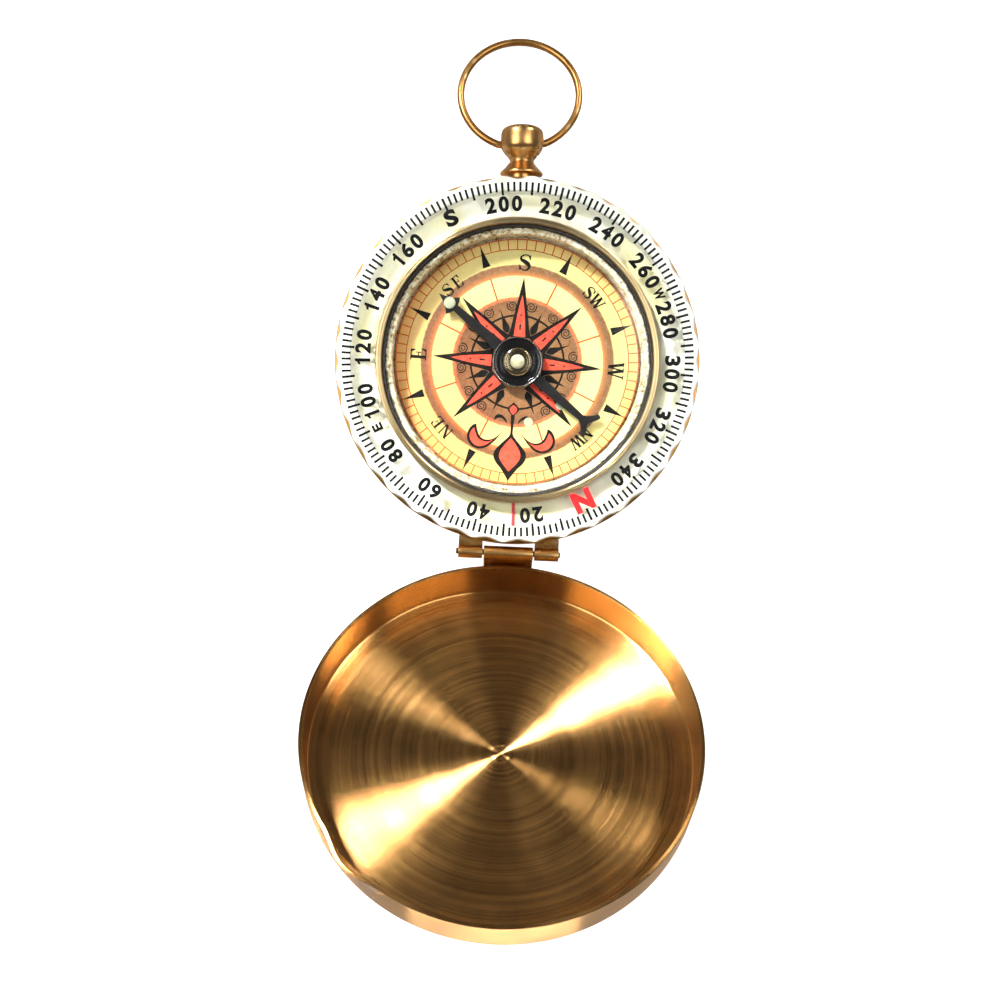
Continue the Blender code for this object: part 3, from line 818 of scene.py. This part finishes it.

# %% Bezel ring and lobe pads with painted shade
bezel_outline = soften(
    [(22.95, 8.25), (24.2, 8.25), (24.2, 10.45), (23.85, 10.9), (18.95, 10.9), (18.95, 10.1),
     (18.5, 10.1), (18.5, 9.6), (22.95, 9.6)], 0.1, 2)
bezel = grown("bezel", turned(bezel_outline, 720), scallop,
              {"Lobes": 36.0, "Notch depth": 0.4, "Finish": bezel_clear})
finished("bezel_clear_ring", bezel, bezel_clear, "bezel", replaces=("bezel_ring",),
         place=TO_SCALE)
# Thin grip pads whose grey olive tint is painted shade, standing in for the shading on the clear
# grip bumps.
shade_pad = []
for k in range(24):
    a = math.tau * k / 24
    shade_pad.append((23.72 + 0.36 * math.cos(a) * (1.0 if math.cos(a) > 0 else 1.15),
                0.66 * math.sin(a)))
ringed("grip_shade_pads", [shade_pad], 10.885, 10.93, 36, lobe_frost_and_shade, "bezel", place=TO_SCALE)

# %% [markdown]
# ## The scale on the bezel
# Degrees run clockwise, with a short tick every second degree and a long one every tenth.
# Numbers stand every twenty degrees, their tops outwards, with a red N, a black S and small E
# and W. The ticks are one thin block repeated by the tree. Each numeral is a text glyph turned
# into mesh, except the 1, which has its own outline; all are fitted to the printer's height
# and width and carried to their own angle.

# %% Ticks
INK_LOW, INK_HIGH = 10.895, 10.93
short_tick = [(22.05, -0.145), (23.28, -0.155), (23.28, 0.155), (22.05, 0.145)]
long_tick = [(21.6, -0.15), (23.28, -0.165), (23.28, 0.165), (21.6, 0.15)]
for name, tick, count, skip in (("short_ticks", short_tick, 180, 5),
                                ("long_ticks", long_tick, 36, 0)):
    ringed(name, [tick], INK_LOW, INK_HIGH, count, scale_black, "bezel", place=TO_SCALE,
           skip=skip)


# %% Numerals
ONE = [(-0.08, 0.0), (0.42, 0.0), (0.42, 1.0), (0.08, 1.0), (-0.12, 0.84), (-0.5, 0.76),
       (-0.5, 0.62), (-0.08, 0.68)]


def glyph(character, width, height, weight):
    """One printed character as a thin solid, centred, its foot at y = 0."""
    if character == "1":
        bm = raised([ONE], INK_LOW, INK_HIGH)
        bm.transform(Matrix.Diagonal((width, height, 1.0, 1.0)))
        return bm
    curve = bpy.data.curves.new("glyph", "FONT")
    curve.body, curve.size, curve.offset = character, 10.0, weight
    curve.resolution_u, curve.extrude = 5, 0.5
    bm = settled(added("glyph", curve))
    bpy.data.curves.remove(curve)
    bmesh.ops.remove_doubles(bm, verts=bm.verts, dist=1e-4)
    xs, ys = [v.co.x for v in bm.verts], [v.co.y for v in bm.verts]
    for v in bm.verts:
        v.co.x = ((v.co.x - min(xs)) / (max(xs) - min(xs)) - 0.5) * width
        v.co.y = (v.co.y - min(ys)) / (max(ys) - min(ys)) * height
        v.co.z = INK_LOW + (v.co.z + 0.5) * (INK_HIGH - INK_LOW)
    return bm


def around(parts, radius):
    """Sets glyphs on a circle: each part is (bmesh, clockwise degrees from N at local -Y)."""
    whole = bmesh.new()
    for part, degrees in parts:
        stand = Matrix.Translation((radius, 0.0, 0.0)) @ rotation(-90.0)
        part.transform(rotation(-90.0 - degrees) @ stand)
        scratch = as_mesh("part", part)
        whole.from_mesh(scratch)
        bpy.data.meshes.remove(scratch)
    bmesh.ops.recalc_face_normals(whole, faces=whole.faces)
    return whole


DIGIT_SPREAD, NUMERAL_TALL = 4.85, 2.06
numerals = []
for value in range(20, 360, 20):
    if value == 180:
        continue
    digits = str(value)
    for k, digit in enumerate(digits):
        off = (k - (len(digits) - 1) / 2.0) * DIGIT_SPREAD
        wide = 0.86 if digit == "1" else 1.36
        numerals.append((glyph(digit, wide, NUMERAL_TALL, 0.42), value + off))
numerals.append((glyph("S", 1.7, 2.2, 0.48), 180.0))
east_west = [(glyph("E", 1.02, 1.35, 0.45), 90.0), (glyph("W", 1.46, 1.35, 0.55), 270.0)]
north = [(glyph("N", 2.75, 2.9, 0.62), 0.0)]
for name, glyphs, foot, ink in (("scale_numbers", numerals, 19.45, scale_black),
                                ("scale_east_west", east_west, 19.85, scale_black),
                                ("scale_north", north, 18.98, scale_red)):
    finished(name, around(glyphs, foot), ink, "bezel", place=TO_SCALE)

# %% [markdown]
# ## Rings round the window
# Inside the bezel come a thin brass retaining ring with fine turned lines, a black rubber
# gasket, the flat clear window and the clear wall of the capsule. On the real wall the uneven
# moulded inner face mirrors bits of the dial; here those glints and reflections are painted
# into the wall's colour as dark and bright specks. It is spun, then a row of small uneven
# facets is repeated round it by the tree, each a little different.

# %% Retainer, gasket and window
retainer = [(18.0, 1.3), (18.25, 1.3), (18.25, 10.4), (18.8, 10.4), (18.8, 10.74), (18.7, 10.86),
            (18.62, 10.9), (18.5, 10.9), (18.46, 10.84), (18.38, 10.84), (18.34, 10.9),
            (18.15, 10.9), (18.04, 10.82), (18.0, 10.7)]
finished("retainer", turned(retainer, WIDE_STEPS), ring_brass, "case",
         replaces=("retainer_ring",))
gasket = soften(slab(17.58, 10.0, 17.9, 10.5), 0.14, 4)
finished("gasket", turned(gasket, RING_STEPS), rubber, "case", replaces=("gasket_ring",))
window = soften([(0.0, 10.1), (17.35, 10.1), (17.35, 10.65), (17.2, 10.8), (0.0, 10.8)], 0.08)
finished("window", turned(window, RING_STEPS), window_clear, "case", replaces=("crystal",))

# %% Capsule wall and its painted glints
wall_with_painted_glints, tree, shader, where = start_material("capsule_wall_painted_glints")
marks = use_group(turning_marks, where, {"Rings per metre": 2600.0, "Broken rings": 9.0})
glint_noise = plus(times(noise(where, 1500.0, 4.0, 0.7), 0.6), times(marks["Streak"], 0.4))
# Painted glints and reflections: dark and bright specks in the wall's colour stand in for the
# dial mirrored in its uneven inner face.
tone = ramp(glint_noise, [(0.36, rgb(52, 40, 24)), (0.43, rgb(176, 148, 96)),
                   (0.49, rgb(234, 224, 184)), (0.6, rgb(255, 255, 246))])
plug(shader, {"Base Color": tone, "Roughness": plus(0.08, times(marks["Streak"], 0.25))})
bump(shader, glint_noise, 0.03)
capsule = soften([(0.4, 6.0), (16.75, 6.0), (16.75, 1.3), (17.4, 1.3), (17.4, 9.8),
                  (16.95, 9.8), (16.75, 9.6), (16.75, 6.65), (0.4, 6.65)], 0.08, 2)
finished("capsule_body", turned(capsule, RING_STEPS), wall_with_painted_glints, "case",
         replaces=("capsule_cup",))
# The facets are real shape; their colour carries the same painted glints.
facet = [(16.82, -0.12), (17.48, -0.17), (17.52, 0.15), (16.86, 0.1)]
ringed("capsule_glitter", [facet], 9.7, 9.93, 260, wall_with_painted_glints, "case", size_jitter=0.5,
       turn_jitter=0.008)

# %% [markdown]
# ## The dial card
# The card is printed in rings: a graduation band at the edge, a pale band for the letters, a
# brown ring that fades to orange, a pale field, and a golden brown disc. Rings that fade into
# each other are colours by radius in the finish; everything with a crisp edge is thin mesh laid
# on the card, from the lines up to the star. The finish also paints shade on one side: the card
# is darker and warmer towards -X and -Y.

# %% Card, its ring colours and painted shade on one side
card_print_and_shade, tree, shader, where = start_material("card_print_and_shade")
marks, touch = use_group(turning_marks, where), use_group(handling, where)
grain = noise(where, 2400.0, 4.0, 0.65)
CARD_SPAN = 20.0
spread = plus(times(marks["Radius"], 1.0 / (CARD_SPAN * MM)), times(minus(grain, 0.5), 0.012))
CARD_RINGS = [
    (0.0, (126, 78, 22)), (6.2, (132, 84, 26)), (8.2, (114, 66, 20)), (8.45, (206, 96, 44)),
    (8.7, (206, 104, 50)), (8.8, (234, 222, 140)), (11.5, (238, 228, 148)),
    (11.64, (220, 126, 54)), (11.9, (172, 98, 32)), (12.4, (124, 74, 24)),
    (12.9, (116, 70, 24)), (13.0, (146, 102, 44)), (13.1, (230, 216, 134)),
    (15.0, (234, 220, 138)), (15.06, (236, 212, 128)), (16.2, (232, 200, 118)),
    (16.5, (214, 158, 88))]
rings_colour = ramp(spread, [(r / CARD_SPAN, rgb(*c)) for r, c in CARD_RINGS])
card = blended(0.1, rings_colour, ramp(grain, [(0.3, rgb(120, 84, 40)),
                                               (0.7, rgb(255, 246, 205))]))
card = blended(times(touch["Scratch"], 0.15), card, rgb(255, 250, 225))
# Painted shade on one side of the card: darker and warmer towards -X and -Y.
shade_side = vectors("DOT_PRODUCT", where, (-40.0, -24.0, 0.0))
painted_side_shade = ramp(plus(plus(0.3, shade_side), times(touch["Cloud"], 0.3)),
            [(0.3, (1.0, 1.0, 1.0)), (1.0, (0.92, 0.68, 0.6))])
plug(shader, {"Base Color": blended(1.0, card, painted_side_shade, "MULTIPLY"),
              "Roughness": plus(0.4, times(grain, 0.15))})
bump(shader, grain, 0.004)
card_outline = soften(slab(0.6, 6.95, 16.5, 7.4), 0.04, 2)
finished("card", turned(card_outline, RING_STEPS), card_print_and_shade, "case", replaces=("dial_card",))


# %% Layers of print
CARD = 7.4


def layer(number):
    """Bottom and top of a layer of print; higher layers cover lower ones."""
    return CARD - 0.01, CARD + 0.012 + 0.008 * number


def printed(name, outlines, level, ink, count=8, first=22.5, skip=0):
    """Print that repeats round the card, the first copy at an angle in degrees."""
    ringed(name, outlines, *layer(level), count, ink, "case", place=TO_DIAL,
           first=math.radians(first), skip=skip)


low, high = layer(0)
for name, inner, outer, ink in (("band_line", 14.98, 15.1, line_ink),
                                ("edge_line", 16.34, 16.47, line_ink),
                                ("inner_line", 6.15, 6.42, black_ink)):
    finished(name, turned(slab(inner, low, outer, high), RING_STEPS), ink, "case")
printed("graduation_lines", [slab(15.05, -0.07, 16.4, 0.07)], 0, line_ink, 80, 0.0)
printed("sector_lines", [slab(8.6, -0.1, 11.7, 0.1)], 0, line_ink)
printed("wedges", [[(13.32, -0.54), (16.05, -0.03), (16.05, 0.03), (13.32, 0.54)]], 1, black_ink)

# %% [markdown]
# ## Star, darts and scrolls
# A compass star has eight slender points. North is a leaf-shaped flower of three petals, so
# seven points are repeated by the tree, which skips the eighth. Each point is a black shape
# with a smaller coral one on top. Between the points stand black darts, and by each point a
# pair of small scrolls, drawn as tapering spiral ribbons.


# %% Star points, darts and scrolls
def ribbon(points, widths):
    """A flat band along a path, as one closed outline."""
    left, right = [], []
    for i, p in enumerate(points):
        ahead, behind = points[min(i + 1, len(points) - 1)], points[max(i - 1, 0)]
        way = Vector((ahead[0] - behind[0], ahead[1] - behind[1])).normalized()
        half = widths[i] / 2.0
        left.append((p[0] - way.y * half, p[1] + way.x * half))
        right.append((p[0] + way.y * half, p[1] - way.x * half))
    return left + right[::-1]


def scroll(side):
    turns, points, widths = 2.0, [], []
    for k in range(41):
        t = k / 40.0
        a = turns * math.tau * t
        r = 0.72 * (1.0 - 0.84 * t)
        points.append((7.5 + r * math.cos(a + 1.2), side * (1.28 + r * math.sin(a + 1.2))))
        widths.append(0.15 * (1.0 - 0.35 * t))
    return ribbon(points, widths)


NORTH_AT = -90.0
star_black = mirrored([(11.5, 0.0), (10.3, 0.22), (9.2, 0.42), (7.75, 0.66), (6.3, 0.95),
                       (4.8, 1.2), (3.7, 1.5), (3.3, 1.62)])
star_coral = mirrored([(9.0, 0.0), (8.3, 0.17), (7.7, 0.3), (6.3, 0.52), (4.8, 0.68),
                       (3.5, 0.78)])
dart = mirrored([(7.5, 0.0), (6.6, 0.1), (5.8, 0.26), (5.2, 0.42), (4.9, 0.5), (4.55, 0.42),
                 (4.05, 0.0)])
eye = [(4.35, -0.09), (5.05, -0.13), (5.15, 0.0), (5.05, 0.13), (4.35, 0.09)]
printed("star_points", [star_black], 2, black_ink, first=NORTH_AT, skip=8)
printed("star_coral", [star_coral], 3, coral_ink, first=NORTH_AT, skip=8)
printed("star_eyes", [eye, circle(6.35, 0.0, 0.13, 10)], 4, black_ink, first=NORTH_AT, skip=8)
printed("darts", [dart], 2, black_ink)
printed("scrolls", [scroll(1.0), scroll(-1.0)], 1, black_ink, first=NORTH_AT, skip=8)

# %% [markdown]
# ## The north flower
# North is marked by a stylised flower: a tall leaf, two curled side petals and a bud on a thin
# stem, black with coral fillings. All of it is drawn once along +X as plain outlines and then
# turned to the north of the card.

# %% North flower
leaf_black = mirrored(curve_through(
    [(16.1, 0.0), (15.3, 0.5), (14.4, 1.15), (13.7, 1.8), (12.9, 2.2), (12.1, 2.1), (11.3, 1.5),
     (10.5, 0.75), (9.9, 0.25), (9.2, 0.16), (7.2, 0.26), (7.1, 0.0)]))
leaf_coral = mirrored(curve_through(
    [(14.8, 0.0), (14.3, 0.45), (13.7, 0.98), (12.9, 1.42), (12.1, 1.35), (11.4, 0.95),
     (10.7, 0.42), (10.25, 0.0)]))
bud_black = mirrored(curve_through(
    [(7.35, 0.0), (6.9, 0.42), (6.45, 0.76), (6.0, 0.62), (5.4, 0.0)], 3))
bud_coral = mirrored(curve_through(
    [(7.1, 0.0), (6.8, 0.3), (6.45, 0.5), (6.1, 0.4), (5.75, 0.0)], 3))


def crescent(out, back):
    """A curved shape between two sharp points, drawn there and back, on both sides."""
    outline = curve_through(out) + curve_through(out[-1:] + back + out[:1])[1:-1]
    return [outline, [(x, -y) for x, y in outline]]


petal_black = crescent(
    [(9.1, 0.95), (10.0, 1.6), (11.0, 2.4), (11.75, 3.3), (12.0, 4.3), (11.7, 5.25), (11.0, 5.85),
     (10.25, 6.0), (9.4, 5.75), (8.85, 5.3), (8.64, 4.84)],
    [(9.1, 4.78), (9.6, 4.62), (10.2, 4.35), (10.6, 3.85), (10.72, 3.2), (10.5, 2.45),
     (9.95, 1.7)])
petal_coral = crescent(
    [(10.35, 2.1), (11.0, 2.8), (11.48, 3.5), (11.68, 4.3), (11.4, 5.05), (10.85, 5.5),
     (10.2, 5.65), (9.6, 5.45), (9.2, 5.1)],
    [(9.75, 4.9), (10.4, 4.6), (10.82, 4.05), (10.98, 3.35), (10.8, 2.7)])
claws = crescent([(8.35, 0.7), (7.85, 0.85), (7.3, 1.35), (7.15, 1.95), (7.45, 2.4), (8.1, 2.5)],
                 [(7.75, 2.2), (7.62, 1.75), (7.75, 1.3)])
for name, outlines, level, ink in (
        ("north_black", [leaf_black, *petal_black, *claws], 2, black_ink),
        ("north_bud", [bud_black], 3, black_ink),
        ("north_coral", [leaf_coral, *petal_coral, bud_coral], 5, coral_ink)):
    finished(name, raised(outlines, *layer(level)), ink, "case",
             place=TO_DIAL @ rotation(NORTH_AT))

# %% Two dots of luminous paint by the north flower
DOT_CIRCLE, DOT_RADIUS = 8.2, 0.62
lume_dots = [circle(DOT_CIRCLE * math.cos(a), DOT_CIRCLE * math.sin(a), DOT_RADIUS, 32)
             for a in (math.radians(-76.8), math.radians(-42.2))]
finished("lume_dots", raised(lume_dots, *layer(7)), lume_paint, "case")

# %% [markdown]
# ## Letters on the card
# Seven compass points are lettered in a bold printer's face with feet. Four letters are
# needed, so each is drawn as flat pieces: thick stems, thin strokes and little feet. They all
# print in the same black, so the pieces of a letter may overlap.


# %% Letter shapes
def slant(x0, y0, x1, y1, thick):
    return [(x0, y0), (x0 + thick, y0), (x1 + thick, y1), (x1, y1)]


def letter_s():
    spine = curve_through([(0.3, 0.72), (0.2, 0.92), (-0.02, 0.97), (-0.26, 0.86), (-0.27, 0.68),
                           (-0.06, 0.56), (0.18, 0.42), (0.27, 0.24), (0.12, 0.05), (-0.1, 0.03),
                           (-0.27, 0.12), (-0.33, 0.3)], 5)
    places = [k / (len(spine) - 1) for k in range(len(spine))]
    widths = [0.07 + 0.2 * math.exp(-((t - 0.5) / 0.17) ** 2) for t in places]
    return [ribbon(spine, widths), [(0.27, 0.68), (0.35, 0.66), (0.33, 1.0), (0.27, 0.95)],
            [(-0.37, 0.0), (-0.3, 0.05), (-0.29, 0.34), (-0.37, 0.34)]]


# Outlines in a box one tall, its foot at y = 0 and centred on x = 0.
LETTERS = {
    "N": [slab(-0.35, 0.0, -0.25, 1.0), slab(0.28, 0.0, 0.38, 1.0),
          slant(0.14, 0.0, -0.42, 1.0, 0.22), slab(-0.44, 0.94, -0.2, 1.0),
          slab(-0.44, 0.0, -0.17, 0.06), slab(0.2, 0.94, 0.47, 1.0)],
    "E": [slab(-0.28, 0.0, -0.06, 1.0), slab(-0.4, 0.0, 0.38, 0.07),
          slab(-0.4, 0.93, 0.34, 1.0), slab(-0.1, 0.47, 0.16, 0.53),
          slab(0.12, 0.34, 0.19, 0.66), [(0.38, 0.0), (0.44, 0.32), (0.37, 0.32), (0.2, 0.05)],
          [(0.36, 1.0), (0.38, 0.7), (0.31, 0.7), (0.18, 0.95)]],
    "W": [slant(-0.3, 0.0, -0.5, 1.0, 0.19), slant(-0.24, 0.0, -0.04, 0.98, 0.1),
          slant(0.12, 0.0, -0.1, 1.0, 0.19), slant(0.18, 0.0, 0.4, 0.96, 0.1),
          slab(-0.56, 0.94, -0.24, 1.0), slab(-0.16, 0.94, 0.14, 1.0),
          slab(0.3, 0.94, 0.56, 1.0)],
    "S": letter_s()}


def letter(character, width, height):
    bm = raised(LETTERS[character], *layer(2))
    for v in bm.verts:
        v.co.x *= width
        v.co.y *= height
    return bm


# %% Letters in place
BIG_WIDE = {"S": 2.1, "E": 1.9, "W": 2.1}
SMALL_WIDE = {"S": 1.55, "E": 1.45, "W": 1.75, "N": 1.6}
big = [(letter(character, BIG_WIDE[character], 2.15), bearing)
       for character, bearing in (("S", 180.0), ("E", 90.0), ("W", 270.0))]
small = []
for word, bearing in (("SE", 135.0), ("SW", 225.0), ("NW", 315.0), ("NE", 45.0)):
    for k, character in enumerate(word):
        off = (k - 0.5) * (6.9 if character != "W" else 6.6)
        small.append((letter(character, SMALL_WIDE[character], 1.7), bearing + off))
finished("card_letters_big", around(big, 12.3), black_ink, "case", place=TO_DIAL)
finished("card_letters_small", around(small, 12.6), black_ink, "case", place=TO_DIAL)

# %% [markdown]
# ## The pointer
# The needle is a thin black strip with a barbed marked end and a forked tail. Its hub is a
# gloss black disc with a bright metal rim and turned steps, a small brass dome and a pale
# centre. A drop of luminous paint sits on the barb. The strip's edges are bevelled a little,
# so that they catch a line of light.

# %% Needle
needle_side = [
    (13.9, 0.0), (12.3, 0.62), (11.45, 1.45), (11.2, 1.1), (10.95, 0.46), (3.4, 0.8), (0.0, 1.5),
    (-3.4, 0.78), (-11.3, 0.44), (-11.8, 0.68), (-12.35, 1.2), (-12.7, 1.75), (-12.95, 1.92),
    (-13.4, 1.75), (-13.32, 1.3), (-13.1, 0.9), (-12.85, 0.5), (-12.65, 0.2), (-12.6, 0.0)]
strip = raised([mirrored(needle_side)], 8.1, 8.35)
bmesh.ops.dissolve_limit(strip, angle_limit=math.radians(1.0), verts=strip.verts,
                         edges=strip.edges)
rim = [e for e in strip.edges if all(v.co.z > 8.3 for v in e.verts) and len(e.link_faces) == 2
       and e.calc_face_angle(0.0) > 0.5]
bmesh.ops.bevel(strip, geom=rim, offset=0.06, segments=2, affect="EDGES")
bmesh.ops.triangulate(strip, faces=[f for f in strip.faces if len(f.verts) > 4])
strip = carved(strip, turned(slab(0.0, 7.5, 1.05, 9.0), 48))
finished("needle_strip", strip, needle_black, "pointer", replaces=("needle",), place=TO_POINTER)

# %% Hub, rim, bearing cap and its centre
hub = soften([(1.1, 8.45), (3.2, 8.45), (3.2, 8.84), (2.95, 8.84), (2.85, 8.78), (2.3, 8.86),
              (2.2, 8.78), (1.9, 8.78), (1.8, 8.84), (1.5, 8.74), (1.1, 8.74)], 0.05, 2)
finished("hub_disc", turned(hub, HUB_STEPS), hub_black, "pointer", replaces=("needle_hub",))
hub_rim = soften([(3.21, 8.46), (3.34, 8.46), (3.34, 8.86), (3.28, 8.95), (3.21, 8.93)], 0.03, 2)
finished("hub_rim", turned(hub_rim, HUB_STEPS), steel, "pointer")
cap_brass = brass("cap_brass", dark=(84, 74, 54), light=(168, 156, 124), rough=0.22,
                  rings=9000.0, groove=0.003, brushed=0.5)
cap = [(0.0, 8.97), (0.45, 8.6), (0.45, 7.9), (0.85, 7.9), (0.85, 9.05), (1.8, 9.05),
       (1.87, 9.1), (1.87, 9.22), (1.82, 9.32), (1.7, 9.41), (1.55, 9.44), (1.4, 9.4),
       (1.2, 9.37), (0.0, 9.37)]
finished("cap_dome", turned(cap, 96), cap_brass, "pointer", replaces=("needle_cap",))
jewel = [(0.0, 9.4), (0.92, 9.4), (0.95, 9.46), (0.93, 9.57), (0.84, 9.67), (0.66, 9.74),
         (0.35, 9.775), (0.0, 9.78)]
jewel_paint = painted("jewel_paint", (158, 152, 120), (200, 194, 162), rough=0.3)
finished("cap_centre", turned(jewel, 64), jewel_paint, "pointer", replaces=("cap_jewel",))
drop = turned([(0.0, 8.36), (0.76, 8.36), (0.78, 8.42), (0.72, 8.49), (0.55, 8.54),
               (0.3, 8.56), (0.0, 8.565)], 48)
drop.transform(Matrix.Translation((12.0, 0.0, 0.0)))
finished("lume_drop", drop, lume_paint, "pointer", replaces=("needle_lume",), place=TO_POINTER)

# %% [markdown]
# ## Frame parts kept as they are
# The pivot pin and the pendant's nut are hidden inside and already have the right shape, so
# the frame's own meshes stay and only their finish changes.

# %% Finishes for the kept parts
for name, finish in (("pivot_pin", steel), ("pendant_nut", hinge_brass)):
    kept_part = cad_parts[name]
    kept_part.data.materials.clear()
    kept_part.data.materials.append(finish)
    print(name, "keeps its shape, finish", finish.name)

# %% [markdown]
# ## Floor, lights and camera
# The compass lies on a plain white table under soft light. Two softboxes overhead light the
# dial from both sides of the camera, and a low one in front brightens the lid's outer wall. Two
# narrow beams reach only the lid: one from the back left draws the bright fans across its
# brushing, a dimmer one from the back right the golden ones. The world is a dim even grey, so
# that polished brass has something dark to mirror. The camera looks down on the dial from just
# over a hand's length.

# %% Floor
floor_bm = bmesh.new()
bmesh.ops.create_grid(floor_bm, x_segments=8, y_segments=8, size=3.0)
floor = added("floor", as_mesh("floor", floor_bm))
floor.location.z = -0.0002
floor_paint, tree, shader, where = start_material("floor_paint")
plug(shader, {"Base Color": ramp(noise(where, 4.0), [(0.3, (0.4, 0.4, 0.4)),
                                                     (0.7, (0.42, 0.42, 0.42))]),
              "Roughness": 0.9, "Specular IOR Level": 0.1,
              "Emission Color": (1.0, 1.0, 1.0, 1.0),
              "Emission Strength": node(tree, "ShaderNodeLightPath", out="Is Camera Ray")})
floor.data.materials.append(floor_paint)


# %% Lights
def softbox(name, centre, target, width, height, power, spread=180.0):
    """Spread is the full angle of its beam, in degrees."""
    light = bpy.data.lights.new(name, "AREA")
    light.shape, light.size, light.size_y = "RECTANGLE", width, height
    light.energy, light.spread = power, math.radians(spread)
    lamp = added(name, light)
    lamp.location = Vector(centre)
    aim = Vector(target) - Vector(centre)
    lamp.rotation_euler = aim.to_track_quat("-Z", "Y").to_euler()
    print(name, [round(v, 2) for v in lamp.location], "W", power)


softbox("overhead_left", (-0.34, 0.03, 0.44), (-0.02, 0.0, 0.0), 0.34, 0.3, 1.6)
softbox("overhead_right", (0.275, 0.06, 0.5), (0.02, 0.0, 0.0), 0.3, 0.3, 1.05)
softbox("front_low", (0.0, -0.42, 0.05), (0.0, -0.06, 0.03), 0.4, 0.08, 2.6)
softbox("fan_light", (-0.223, 0.257, 0.261), (0.012, -0.058, 0.02), 0.09, 0.09, 0.16, spread=16.0)
softbox("gold_light", (0.29, 0.3, 0.27), (0.0, -0.06, 0.02), 0.42, 0.3, 0.17, spread=18.0)
world = bpy.data.worlds.new("studio")
world.use_nodes = True
bpy.context.scene.world = world
world_tree = world.node_tree
seen = node(world_tree, "ShaderNodeLightPath", out="Is Camera Ray")
sky = node(world_tree, "ShaderNodeMix", {0: seen, 6: (0.09, 0.09, 0.09, 1.0),
                                         7: (1.0, 1.0, 1.0, 1.0)}, out=2, data_type="RGBA")
plug(world_tree.nodes["Background"], {"Color": sky})
bpy.context.scene.view_settings.view_transform = "Standard"
bpy.context.scene.view_settings.look = "None"

# %% Camera
SENSOR, FOCAL_RATIO = 36.0, 1138.8053 / 1002.0
VIEW_TURN = (Matrix.Rotation(-0.0453, 3, "Z") @ Matrix.Rotation(0.0079, 3, "Y")
             @ Matrix.Rotation(0.0699, 3, "X"))
stand = VIEW_TURN.transposed() @ Vector((-2.2099, -18.4782, 150.3456)) + Vector((0, 0, 10.9))
camera_data = bpy.data.cameras.new("camera")
camera_data.sensor_width = SENSOR
camera_data.lens = FOCAL_RATIO * SENSOR
camera_data.clip_start = 0.01
camera = added("camera", camera_data)
camera.matrix_world = Matrix.Translation(stand * MM) @ VIEW_TURN.transposed().to_4x4()
bpy.context.scene.camera = camera
print("camera at, mm:", [round(v, 1) for v in stand])
